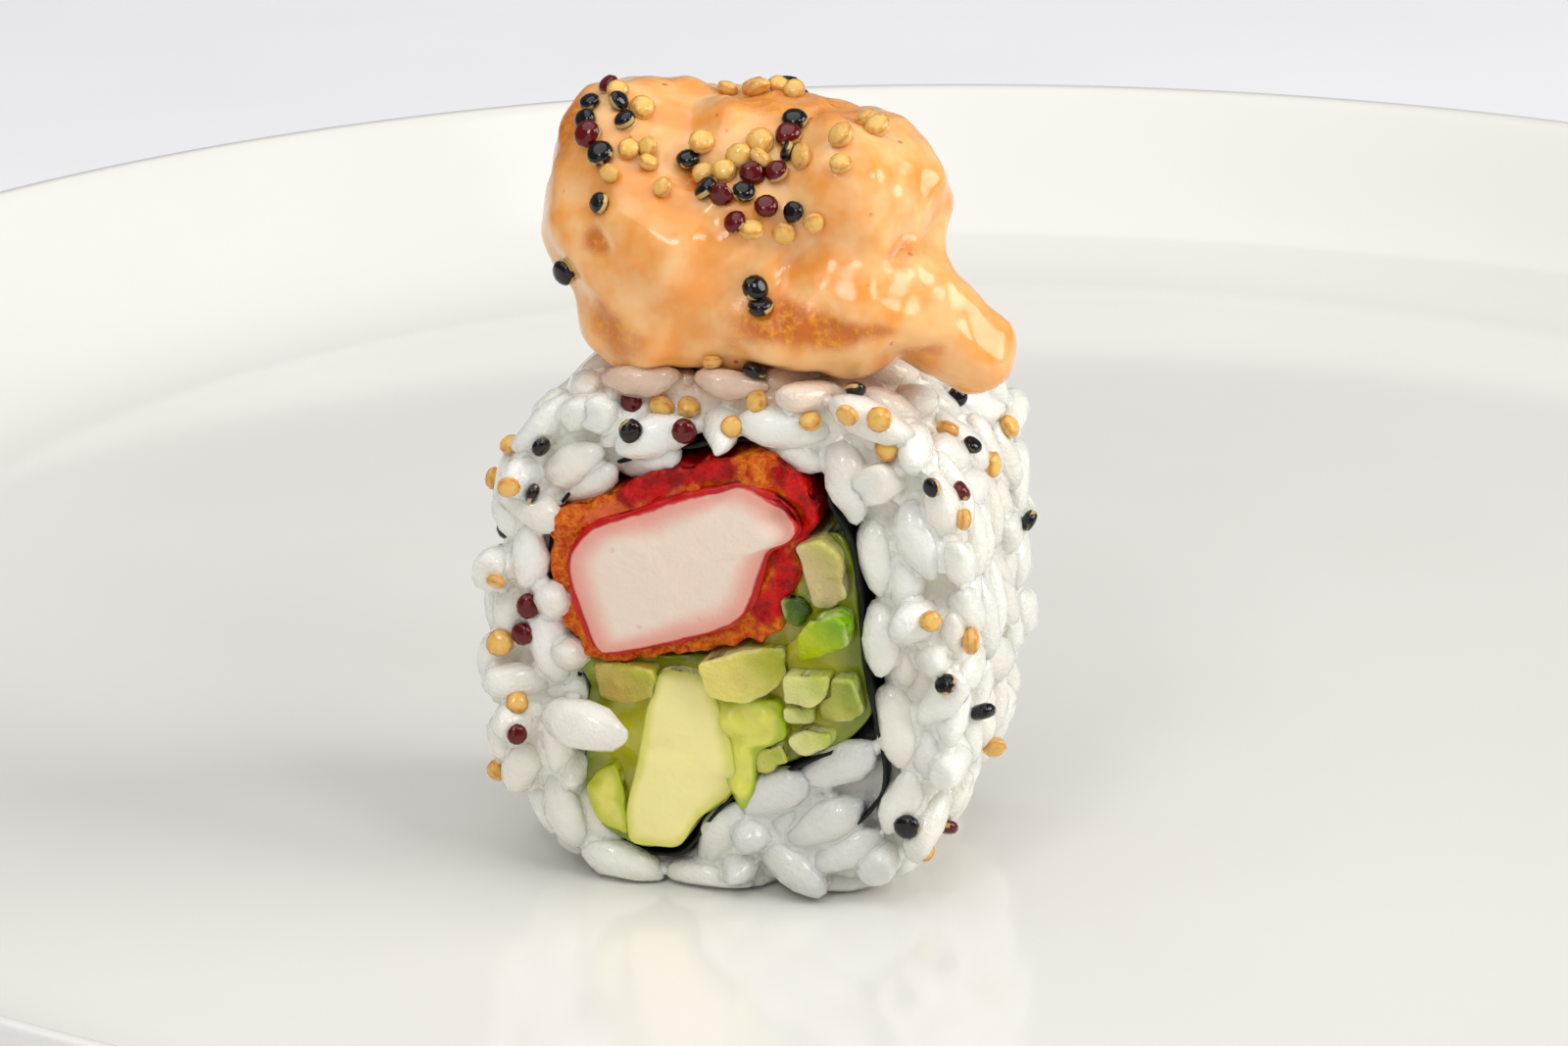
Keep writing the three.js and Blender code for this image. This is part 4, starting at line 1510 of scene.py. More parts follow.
@dataclass
class Topping:
    """The sauced bite on top: soft lumps that melt together, with a drip at its right end."""

    section: Section
    roll: RollFrame
    rice_proud: float = 1.1
    heart: Place = (-0.5, -1.0, 52.0)
    lumps: tuple[tuple[Place, Place], ...] = (
        ((-2.0, 1.0, 52.4), (14.0, 11.6, 10.8)),
        ((-10.4, 0.5, 56.8), (6.2, 8.5, 6.4)),
        ((-11.8, -3.0, 52.2), (4.8, 7.0, 5.4)),
        ((7.6, -0.5, 55.9), (7.2, 9.5, 6.6)),
        ((-5.5, -7.6, 51.6), (8.0, 5.4, 5.4)),
        ((-5.6, -7.6, 46.3), (7.4, 5.0, 4.0)),
        ((5.0, -7.6, 47.0), (9.0, 5.0, 4.2)),
    )
    drip_from: Place = (9.5, -5.0, 50.6)
    drip_to: Place = (18.5, -5.0, 44.6)
    drip_thick: float = 5.2
    drip_thin: float = 3.4
    melt_width: float = 2.4
    wave_depth: float = 0.35
    wave_length: float = 9.5
    waves: tuple[tuple[float, ...], ...] = (
        (1.0, 0.0, 0.6, 0.0), (0.0, 0.8, -0.7, 1.0), (-0.9, 0.0, 1.7, 2.0), (1.3, 1.5, 0.0, 0.0),
    )
    fine_share: float = 0.5
    detail: int = 7
    march_steps: int = 70
    march_share: float = 0.7
    march_stop: float = 0.002
    blotch: float = 0.25
    blotch_from: Flat = (0.25, 0.8)
    blotch_pitch: float = 5.5
    blotch_behind: Flat = (-2.0, 5.0)
    worn_edge: Flat = (1.5, 0.3)
    worn_wander: Flat = (1.3, 3.0)
    flow: Flat = (1.7, 6.0)
    fold_deep: float = 0.8
    fold_fine: float = 0.2
    fold_pitch: float = 5.6
    crust_sunk: float = 0.35
    crag_deep: float = 0.36
    crag_fine: float = 0.22
    crag_pitches: Flat = (1.9, 1.0)
    free_from: Flat = (0.2, 1.4)
    worn: tuple[tuple[Place, Place, float], ...] = (
        ((6.2, -11.0, 47.6), (6.8, 4.5, 2.2), 1.0),
        ((-9.2, -10.0, 47.0), (3.0, 5.0, 2.6), 0.75),
        ((-9.9, -11.0, 52.4), (1.6, 3.0, 1.5), 0.8),
        ((-15.4, -3.0, 60.0), (2.2, 6.0, 5.5), 0.8),
        ((4.0, 0.0, 62.6), (9.0, 5.0, 3.0), 0.6),
        ((12.4, -6.0, 53.5), (1.6, 4.0, 1.8), 0.8),
        ((15.5, -7.0, 45.0), (2.5, 3.0, 1.2), 0.6),
        ((-3.2, -8.0, 58.6), (2.6, 2.5, 1.6), 0.9),
        ((2.0, 9.0, 50.0), (9.0, 5.0, 3.5), 0.8),
    )
    finish: Finish = CreamySauce("creamy_sauce")

    def melt(self, a: np.ndarray, b: np.ndarray) -> np.ndarray:
        """Joins two distances softly."""
        h = np.maximum(self.melt_width - np.abs(a - b), 0) / self.melt_width
        return np.minimum(a, b) - h * h * self.melt_width / 4

    def distance(self, points: np.ndarray) -> np.ndarray:
        """Distance from the surface, negative inside.

        Args:
            points: Places, three numbers a row.

        Returns:
            One distance a point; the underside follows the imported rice.
        """
        total: np.ndarray | None = None
        for at, half in self.lumps:
            near = (points - at) / np.array(half)
            reach = lengths(near)
            steep = lengths(near / np.array(half)) + TINY
            lump = reach * (reach - 1) / steep
            total = lump if total is None else self.melt(total, lump)
        start, end = np.array(self.drip_from), np.array(self.drip_to)
        share = np.clip((points - start) @ (end - start) / ((end - start) @ (end - start)), 0, 1)
        line = start + share[:, None] * (end - start)
        radius = self.drip_thick + (self.drip_thin - self.drip_thick) * share
        total = self.melt(total, lengths(points - line) - radius)
        waves = np.array(self.waves)
        turns = points @ waves[:, :3].T * (2 * math.pi / self.wave_length) + waves[:, 3]
        broad, cross, fine, fine_cross = np.sin(turns).T
        uneven = self.wave_depth * (broad * cross + self.fine_share * fine * fine_cross)
        rice = self.section.distance(points[:, 0], points[:, 2]) + self.rice_proud
        return np.maximum(total + uneven, self.section.gap - rice)

    def reach(self, directions: np.ndarray) -> np.ndarray:
        """How far the surface lies from the heart in each direction.

        Args:
            directions: Unit directions, one a row.

        Returns:
            Distances in millimetres.
        """
        far = np.zeros(len(directions))
        for _ in range(self.march_steps):
            gap = self.distance(np.array(self.heart) + directions * far[:, None])
            far = np.where(gap < -self.march_stop, far - self.march_share * gap, far)
        return far

    def crust_share(self, points: np.ndarray) -> np.ndarray:
        """Where the browned crust shows through thin sauce.

        Args:
            points: Places on the surface.

        Returns:
            Shares from 0 to 1.
        """
        blotch = step_between(*self.blotch_from, soft_noise(points, self.blotch_pitch, Pattern.BLOTCHES))
        share = self.blotch * blotch * step_between(*self.blotch_behind, points[:, 1])
        wander = pushed(points, *self.worn_wander, Pattern.WORN_EDGES)
        for at, half, strength in self.worn:
            away = lengths((wander - at) / np.array(half))
            share = np.maximum(share, strength * step_between(*self.worn_edge, away))
        return share

    def build(self) -> bpy.types.Object:
        """Makes the sauce's mesh with its folds and dresses it.

        Returns:
            The finished piece.
        """
        ball = bmesh.new()
        bmesh.ops.create_icosphere(ball, subdivisions=self.detail, radius=1.0)
        directions = unit(np.array([v.co for v in ball.verts]))
        faces = [[v.index for v in f.verts] for f in ball.faces]
        ball.free()
        points = np.array(self.heart) + directions * self.reach(directions)[:, None]
        crust = self.crust_share(points)
        flow = pushed(points, *self.flow, Pattern.FLOW)
        broad = soft_noise(flow, self.fold_pitch, Pattern.FOLDS)
        tight = soft_noise(flow, self.fold_pitch / 2, Pattern.CREASES)
        folds = self.fold_deep * broad + self.fold_fine * tight - self.crust_sunk * crust
        crags = self.crag_deep * soft_noise(points, self.crag_pitches[0], Pattern.CRAGS)
        crags += self.crag_fine * soft_noise(points, self.crag_pitches[1], Pattern.FINE_CRAGS)
        over_rice = self.section.distance(points[:, 0], points[:, 2]) + self.rice_proud
        free = step_between(*self.free_from, over_rice)
        points = points + directions * ((folds + crags * crust) * free)[:, None]
        piece = new_piece("topping_sauce", points, faces, self.roll.matrix(), {"crust": crust})
        return settle(piece, self.finish, ["topping"])


class KernelKind(Enum):
    """What a scattered kernel is."""

    GRAIN = "rice_grain"
    SEED = "quinoa_seed"


class SeedKind(Enum):
    """A quinoa seed's colour, as the number that its material reads."""

    BLACK = 0.0
    RED = 1.0
    GOLDEN = 2.0


# A seed's place, outward direction and kind
Spot = tuple[np.ndarray, np.ndarray, SeedKind]


@dataclass
class KernelTree:
    """Geometry Nodes that put one kernel on each point and make a plain mesh of them."""

    kind: KernelKind
    finish: Finish
    sides: int = 10
    rings: int = 8
    bend: float = 0.12
    taper: float = 0.14
    floor: float = 0.35
    lumps: float = 1.0
    lump_scale: float = 0.42
    plump: float = 0.1
    droop: float = 0.4
    rim_dip: float = 0.12
    rim_power: float = 8.0

    def settings(self) -> dict[str, int | float]:
        """The tree's inputs by name, with what they are set to.

        Returns:
            Whole numbers for counts, others for shapes.
        """
        return {
            "Sides": self.sides,
            "Rings": self.rings,
            "Bend": self.bend,
            "Taper": self.taper,
            "Floor": self.floor,
            "Lumps": self.lumps,
        }

    def tree(self) -> tuple[bpy.types.NodeTree, dict[str, str]]:
        """Builds the tree.

        Returns:
            The tree, and its inputs' identifiers by name.
        """
        made = bpy.data.node_groups.new(f"{self.kind.value}_scatter", "GeometryNodeTree")
        face = made.interface
        face.new_socket("Geometry", in_out="INPUT", socket_type="NodeSocketGeometry")
        names = {}
        for label, value in self.settings().items():
            socket = "NodeSocketInt" if isinstance(value, int) else "NodeSocketFloat"
            names[label] = face.new_socket(label, in_out="INPUT", socket_type=socket).identifier
        face.new_socket("Geometry", in_out="OUTPUT", socket_type="NodeSocketGeometry")
        graph = Graph(made)
        source = made.nodes.new("NodeGroupInput")
        given = {s.name: Wire(graph, s) for s in source.outputs if s.name}
        round_sizes = {0: given["Sides"], 1: given["Rings"], 2: 1.0}
        ball = graph.node("GeometryNodeMeshUVSphere", inputs=round_sizes, out="Mesh")
        shape = self._grain if self.kind is KernelKind.GRAIN else self._seed
        inputs = {
            "Points": given["Geometry"],
            "Instance": shape(graph, ball, given),
            "Rotation": graph.stored("turn", "QUATERNION"),
            "Scale": graph.stored("size", "FLOAT_VECTOR"),
        }
        placed = graph.node("GeometryNodeInstanceOnPoints", inputs=inputs)
        real = graph.node("GeometryNodeRealizeInstances", inputs={"Geometry": placed})
        cut = self._cut(graph, self._lumpy(graph, real, given), given)
        smooth = graph.node("GeometryNodeSetShadeSmooth", inputs={"Geometry": cut})
        cover = {"Geometry": smooth, "Material": self.finish.material()}
        dressed = graph.node("GeometryNodeSetMaterial", inputs=cover)
        sink = made.nodes.new("NodeGroupOutput")
        made.links.new(dressed.socket, sink.inputs[0])
        return made, names

    def _grain(self, graph: Graph, ball: Wire, given: dict[str, Wire]) -> Wire:
        """A rice grain along x: plump, a little bent, thicker at one end.

        Args:
            graph: The tree's nodes.
            ball: The sphere that it is made from.
            given: The tree's inputs.

        Returns:
            The grain, whose points keep how near its tips they are.
        """
        x, y, z = graph.axes()
        kept = graph.marked(ball, "tip", abs(z))
        plump = 1.0 + self.plump * (1.0 - z * z)
        lean = 1.0 - given["Taper"] * z
        bow = given["Bend"] * (z * z - self.droop)
        return graph.moved(kept, z, x * plump * lean, y * plump * lean + bow)

    def _seed(self, graph: Graph, ball: Wire, given: dict[str, Wire]) -> Wire:
        """A flat round seed with dished faces.

        Args:
            graph: The tree's nodes.
            ball: The sphere that it is made from.
            given: The tree's inputs.

        Returns:
            The seed, whose points keep how far from its rim they are.
        """
        x, y, z = graph.axes()
        kept = graph.marked(ball, "rim", abs(z))
        dish = 1.0 - given["Bend"] * z * z - self.rim_dip * z**self.rim_power
        return graph.moved(kept, x, y * (1.0 - given["Taper"] * x), z * dish)

    def _lumpy(self, graph: Graph, mesh: Wire, given: dict[str, Wire]) -> Wire:
        """Makes each kernel a little uneven, unlike its neighbours.

        Args:
            graph: The tree's nodes.
            mesh: The kernels.
            given: The tree's inputs.

        Returns:
            The uneven kernels.
        """
        noise = {"Scale": self.lump_scale, "Detail": 1.0}
        cloud = graph.node("ShaderNodeTexNoise", inputs=noise, out="Color")
        middle = {0: cloud, 1: (0.5, 0.5, 0.5)}
        centred = graph.node("ShaderNodeVectorMath", {"operation": "SUBTRACT"}, middle)
        sized = {0: centred, "Scale": given["Lumps"]}
        shift = graph.node("ShaderNodeVectorMath", {"operation": "SCALE"}, sized)
        return graph.node("GeometryNodeSetPosition", inputs={"Geometry": mesh, "Offset": shift})

    def _cut(self, graph: Graph, mesh: Wire, given: dict[str, Wire]) -> Wire:
        """Presses kernels flat at the knife and on the plate.

        Args:
            graph: The tree's nodes.
            mesh: The kernels.
            given: The tree's inputs.

        Returns:
            The pressed kernels.
        """
        x, y, z = graph.axes()
        near, far = graph.stored("near", "FLOAT"), graph.stored("far", "FLOAT")
        return graph.moved(mesh, x, y.at_least(near).at_most(far), z.at_least(given["Floor"]))

    def scatter(self, name: str, layout: "Layout", place: Matrix) -> bpy.types.Object:
        """Turns a layout into one plain mesh.

        Args:
            name: The piece's name.
            layout: Where the kernels lie.
            place: Matrix to the row frame.

        Returns:
            The object, in the row frame.
        """
        limits = {"near": layout.near, "far": layout.far}
        piece = new_piece(name, layout.at, [], Matrix.Identity(4), {**layout.values, **limits})
        turn = piece.data.attributes.new("turn", "QUATERNION", "POINT")
        turn.data.foreach_set("value", layout.turn.astype(np.float32).ravel())
        size = piece.data.attributes.new("size", "FLOAT_VECTOR", "POINT")
        size.data.foreach_set("vector", layout.size.astype(np.float32).ravel())
        tree, names = self.tree()
        nodes = piece.modifiers.new("scatter", "NODES")
        nodes.node_group = tree
        for label, value in self.settings().items():
            nodes[names[label]] = value
        bake_modifiers(piece)
        real = piece.data
        for spare in ("turn", "size", "near", "far"):
            if spare in real.attributes:
                real.attributes.remove(real.attributes[spare])
        real.transform(place)
        real.update()
        return piece


@dataclass
class Layout:
    """Where kernels lie, how they are turned, how large they are and where the knife stops them."""

    at: np.ndarray
    turn: np.ndarray
    size: np.ndarray
    near: np.ndarray
    far: np.ndarray
    values: dict[str, np.ndarray]


def turn_to(along: np.ndarray, out: np.ndarray) -> Quaternion:
    """The turn that brings a kernel's x axis along one direction and its z axis near another.

    Args:
        along: Where x goes.
        out: Where z goes, as nearly as x allows.

    Returns:
        The turn.
    """
    x = Vector(along).normalized()
    y = Vector(out).cross(x)
    if y.length < TINY:
        y = x.orthogonal()
    y.normalize()
    z = x.cross(y)
    return Matrix((x, y, z)).transposed().to_quaternion()


@dataclass
class Grain:
    """A rice grain: its middle, its direction, its outward side and how far past the cuts it may reach."""

    at: np.ndarray
    along: np.ndarray
    out: np.ndarray
    uncut: float


@dataclass
class Rice:
    """The rice: a packed core, and grains over its outside and both cuts."""

    section: Section
    nori: Nori
    topping: Topping
    roll: RollFrame
    length: float = 6.9
    width: float = 3.2
    thick: float = 2.7
    size_spread: Flat = (0.88, 1.1)
    shape_spread: Flat = (0.94, 1.06)
    dullest: float = 0.85
    glassiest: float = 0.6
    glassy_odds: Flat = (0.6, 1.8)
    core_inset: float = 1.8
    core_depth: float = 2.0
    core_ease: float = 1.035
    core_around: int = 200
    core_rings: int = 8
    core_rows: int = 16
    core_shares: Flat = (0.1, 0.9)
    core_shade: float = 0.6
    core_floor: float = 0.4
    core_bump: float = 0.5
    core_bump_pitch: float = 2.6
    film_cell: float = 0.45
    film_sunk: float = 0.14
    film_ease: int = 3
    layers: int = 2
    layer_step: float = 0.9
    clearance: float = 2.3
    gap_clearance: float = 1.75
    bead: float = 1.75
    tries: int = 8000
    seed: int = 7
    tongue: Flat = (6.5, 7.5)
    tongue_reach: Flat = (9.5, 5.5)
    tongue_depth: Flat = (-6.0, -9.0)
    soak_reach: Flat = (4.5, 0.8)
    soak_height: Flat = (34.0, 40.0)
    beside_nori: Flat = (1.25, 1.6)
    beside_tilt: float = 0.2
    beside_depth: Flat = (0.5, 1.2)
    uncut: float = 3.0
    round_steps: int = 900
    round_inset: float = 0.95
    round_margin: float = 1.4
    round_share: float = 0.6
    round_spread: float = 0.5
    round_tilt: float = 0.12
    round_depth: Flat = (-0.35, 0.25)
    round_uncut: float = 0.7
    cut_tilts: Place = (0.15, 0.5, 2.2)
    cut_odds: Place = (0.65, 0.25, 0.1)
    cut_depth: Flat = (0.4, 1.5)
    cut_lowest: float = 0.6
    sliced_share: float = 0.15
    sliced: Flat = (-0.1, 0.4)
    tip_share: float = 0.36
    skin_gap: float = 0.1
    plate_gap: float = 0.5
    nori_gap: float = 1.15
    nori_lap: float = 0.6
    room_steps: int = 160
    laps_left: float = -3.0
    laps_top: float = 34.5
    topping_gap: float = 0.9
    stray_at: Place = (-10.7, -1.9, 14.1)
    stray_along: Place = (0.96, -0.24, -0.1)
    stray_out: Place = (0.0, -1.0, 0.2)
    stray_size: float = 1.12
    finish: Finish = CookedRice("cooked_rice")

    def core(self) -> bpy.types.Object:
        """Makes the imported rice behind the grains: a ring round the filling's room.

        Returns:
            The core, in the roll's millimetres.
        """
        count = self.core_around
        outer, _ = self.section.ring(count, self.core_inset)
        room = self.nori.room(2 * count)
        heart = room.mean(0)
        angle = np.arctan2(*(outer - heart).T[::-1])
        order = np.arctan2(*(room - heart).T[::-1])
        turns = (order[None] - angle[:, None] + math.pi) % (2 * math.pi) - math.pi
        inner = heart + (room[np.argmin(np.abs(turns), axis=1)] - heart) * self.core_ease
        near, far = self.section.near + self.core_depth, self.section.far - self.core_depth
        wall = outer - inner
        first, last = self.core_shares
        loops = [(inner, far), (inner, near)]
        loops += [(inner + wall * share, near) for share in np.linspace(first, 1.0, self.core_rings)]
        loops += [(outer, y) for y in np.linspace(near, far, self.core_rows)[1:]]
        loops += [(inner + wall * share, far) for share in np.linspace(last, first, self.core_rings)]
        rings = [np.column_stack([loop[:, 0], np.full(count, y), loop[:, 1]]) for loop, y in loops]
        points = np.vstack(rings)
        bump = self.core_bump * soft_noise(points, self.core_bump_pitch, Pattern.PACKED_RICE)
        away = np.column_stack([points[:, 0], np.zeros(len(points)), points[:, 2] - self.section.middle])
        points = points + away / (lengths(away)[:, None] + TINY) * bump[:, None]
        points[:, 2] = np.maximum(points[:, 2], self.core_floor)
        faces = [
            tuple(number % len(points) for number in quad) for quad in ring_faces(len(loops) + 1, count)
        ]
        shade = np.full(len(points), self.core_shade)
        values = {"shade": shade, "soak": self.soak(points), "glassy": self.glassy(points)}
        made = new_piece("rice_core", points, faces, Matrix.Identity(4), values)
        face_outward(made)
        return made

    def fuse(self, loose: Sequence[bpy.types.Object]) -> bpy.types.Object:
        """Makes the starchy film that fills the creases between the grains.

        Args:
            loose: Core and grains, in the roll's millimetres; they are used up.

        Returns:
            One closed piece just below the grains' tops, with the tones of the grains that it lies on.
        """
        joined = bmesh.new()
        places, tones = [], {key: [] for key in ("shade", "soak", "glassy")}
        for piece in loose:
            joined.from_mesh(piece.data)
            places.extend(v.co.copy() for v in piece.data.vertices)
            for key, kept in tones.items():
                kept.extend(item.value for item in piece.data.attributes[key].data)
            bpy.data.objects.remove(piece)
        made = new_piece("rice_core", np.zeros((0, 3)), [], Matrix.Identity(4))
        joined.to_mesh(made.data)
        joined.free()
        sticky = made.modifiers.new("sticky", "REMESH")
        sticky.mode = "VOXEL"
        sticky.voxel_size = self.film_cell
        sticky.use_smooth_shade = True
        eased = made.modifiers.new("eased", "SMOOTH")
        eased.iterations = self.film_ease
        sunk = made.modifiers.new("sunk", "DISPLACE")
        sunk.mid_level = 0.0
        sunk.strength = -self.film_sunk
        bake_modifiers(made)
        tree = KDTree(len(places))
        for number, place in enumerate(places):
            tree.insert(place, number)
        tree.balance()
        nearest = [tree.find(v.co)[1] for v in made.data.vertices]
        keep_values(made.data, {key: np.array(kept)[nearest] for key, kept in tones.items()})
        made.data.transform(self.roll.matrix())
        made.data.update()
        return made

    def soak(self, points: np.ndarray) -> np.ndarray:
        """How much sauce has run into the rice and how much painted shade the topping casts on it, from 0 to
        1: most right under the topping.
        """
        near_sauce = step_between(*self.soak_reach, self.topping.distance(points))
        return near_sauce * step_between(*self.soak_height, points[:, 2])

    def glassy(self, points: np.ndarray) -> np.ndarray:
        """How glassy the rice is, from 0 to 1: most at the near cut, in the tongue of rice."""
        away = lengths(points[:, [0, 2]] - np.array(self.tongue))
        return step_between(*self.tongue_reach, away) * step_between(*self.tongue_depth, points[:, 1])

    def _cuts(self) -> tuple[Flat, Flat]:
        """Where each cut lies along the roll, and which way it faces."""
        return (self.section.near, -1.0), (self.section.far, 1.0)

    def _beside(self, rng: np.random.Generator) -> list[Grain]:
        """Draws grains that lie along the nori at both cuts.

        Args:
            rng: The draws' source.

        Returns:
            The grains.
        """
        found = []
        path = self.nori.path(self.nori.steps)
        course = unit(np.gradient(path, axis=0))
        for cut, toward in self._cuts():
            for _ in range(self.tries // 8):
                i = rng.integers(len(path))
                aside = rng.choice([-1, 1]) * rng.uniform(*self.beside_nori)
                spot = path[i] + aside * np.array([-course[i, 1], course[i, 0]])
                along = np.array([course[i, 0], rng.normal(0, self.beside_tilt), course[i, 1]])
                at = np.array([spot[0], cut - toward * rng.uniform(*self.beside_depth), spot[1]])
                found.append(Grain(at, along, np.array([0, toward, 0.0]), self.uncut))
        return found

    def _round(self, rng: np.random.Generator, layer: int) -> list[Grain]:
        """Draws grains round the roll's outside.

        Args:
            rng: The draws' source.
            layer: 0 for the outermost.

        Returns:
            The grains.
        """
        found = []
        places, outs = self.section.ring(self.round_steps, self.round_inset + self.layer_step * layer)
        for _ in range(self.tries):
            i = rng.integers(len(places))
            y = rng.uniform(self.section.near + self.round_margin, self.section.far - self.round_margin)
            out = np.array([outs[i, 0], 0, outs[i, 1]])
            around = np.array([-outs[i, 1], 0, outs[i, 0]])
            lies_round = rng.uniform() < self.round_share
            angle = rng.normal(0, self.round_spread) if lies_round else rng.uniform(0, math.pi)
            along = math.cos(angle) * around + math.sin(angle) * np.array([0, 1.0, 0])
            along = along + rng.normal(0, self.round_tilt) * out
            at = np.array([places[i, 0], y, places[i, 1]]) + out * rng.uniform(*self.round_depth)
            found.append(Grain(at, along, out, self.round_uncut))
        return found

    def _on_cuts(self, rng: np.random.Generator, layer: int) -> list[Grain]:
        """Draws grains at both cuts, a few of them sliced by the knife.

        Args:
            rng: The draws' source.
            layer: 0 for the outermost.

        Returns:
            The grains.
        """
        found = []
        half = self.section.half[0]
        for cut, toward in self._cuts():
            for _ in range(self.tries // 2):
                x = rng.uniform(-half, half)
                z = rng.uniform(self.cut_lowest, self.section.height)
                angle = rng.uniform(0, 2 * math.pi)
                tilt = rng.choice(self.cut_tilts, p=self.cut_odds) * rng.choice([-1, 1])
                depth = rng.uniform(*self.cut_depth) + self.layer_step * layer
                uncut = rng.uniform(*self.sliced) if rng.uniform() < self.sliced_share else self.uncut
                along = np.array([math.cos(angle), tilt, math.sin(angle)])
                at = np.array([x, cut - toward * depth, z])
                found.append(Grain(at, along, np.array([0, toward, 0.0]), uncut))
        return found

    def _candidates(self, rng: np.random.Generator) -> list[Grain]:
        """Draws grains that may fit: beside the nori first, then layer by layer outside and at the cuts.

        Args:
            rng: The draws' source.

        Returns:
            The grains in the order in which they are tried.
        """
        found = self._beside(rng)
        for layer in range(self.layers):
            found += self._round(rng, layer)
            found += self._on_cuts(rng, layer)
        return found

    def _fits(self, at: np.ndarray, along: np.ndarray, path: np.ndarray, room: np.ndarray) -> bool:
        """Whether a grain stays in the rice, off the filling and clear of the topping.

        Grains at the left and at the top may lap over the nori's edge.

        Args:
            at: Its middle.
            along: Its direction.
            path: The nori's line.
            room: The filling's outline.

        Returns:
            True if it does.
        """
        reach = np.array([-self.tip_share, 0.0, self.tip_share])[:, None] * self.length * along + at
        flat = reach[:, [0, 2]]
        if self.section.distance(flat[:, 0], flat[:, 1]).max() > -self.skin_gap:
            return False
        if flat[:, 1].min() < self.plate_gap:
            return False
        laps = (flat[:, 0] < self.laps_left) | (flat[:, 1] > self.laps_top)
        gap = line_distance(flat, path) * np.where(inside_outline(flat, room), -1.0, 1.0)
        if (gap < np.where(laps, -self.nori_lap, self.nori_gap)).any():
            return False
        return bool(self.topping.distance(reach).min() > self.topping_gap)

    def pack(self) -> Layout:
        """Packs grains until no more fit.

        Returns:
            The grains' layout.
        """
        rng = np.random.default_rng(self.seed)
        path, room = self.nori.path(self.nori.steps), self.nori.room(self.room_steps)
        across, beyond, up = self.stray_at
        stray_along = np.array(self.stray_along) / np.linalg.norm(self.stray_along)
        stray_at = np.array([across, self.section.near + beyond, up])
        kept = [Grain(stray_at, stray_along, np.array(self.stray_out), FREE)]
        steps = np.array([-self.bead, 0.0, self.bead])[:, None]
        beads = stray_at + steps * stray_along
        candidates = self._candidates(rng)
        for number, grain in enumerate(candidates):
            room_between = self.clearance if number < len(candidates) // 2 else self.gap_clearance
            along = grain.along / np.linalg.norm(grain.along)
            own = grain.at + steps * along
            if np.linalg.norm(beads[None] - own[:, None], axis=2).min() < room_between:
                continue
            if not self._fits(grain.at, along, path, room):
                continue
            kept.append(Grain(grain.at, along, grain.out, grain.uncut))
            beads = np.vstack([beads, own])
        count = len(kept)
        spread = rng.uniform(*self.size_spread, (count, 1))
        size = np.array([self.length, self.width, self.thick]) / 2 * spread
        size *= rng.uniform(*self.shape_spread, (count, 3))
        size[0] *= self.stray_size
        turns = np.array([turn_to(grain.along, grain.out) for grain in kept])
        at = np.array([grain.at for grain in kept])
        uncut = np.array([grain.uncut for grain in kept])
        shade = rng.uniform(0.0, self.dullest, count)
        glassy = np.maximum(self.glassy(at), self.glassiest * rng.beta(*self.glassy_odds, count))
        log.info("packed %d grains", count)
        values = {"shade": shade, "soak": self.soak(at), "glassy": glassy}
        return Layout(at, turns, size, self.section.near - uncut, self.section.far + uncut, values)

    def build(self) -> tuple[bpy.types.Object, bpy.types.Object]:
        """Makes and dresses the film over the core, and the grains.

        Returns:
            The film's piece and the grains' piece.
        """
        tree = KernelTree(KernelKind.GRAIN, self.finish)
        layout = self.pack()
        loose = [self.core(), tree.scatter("loose_grains", layout, Matrix.Identity(4))]
        film = settle(self.fuse(loose), self.finish, ["rice"])
        return film, settle(tree.scatter("rice_grains", layout, self.roll.matrix()), self.finish)


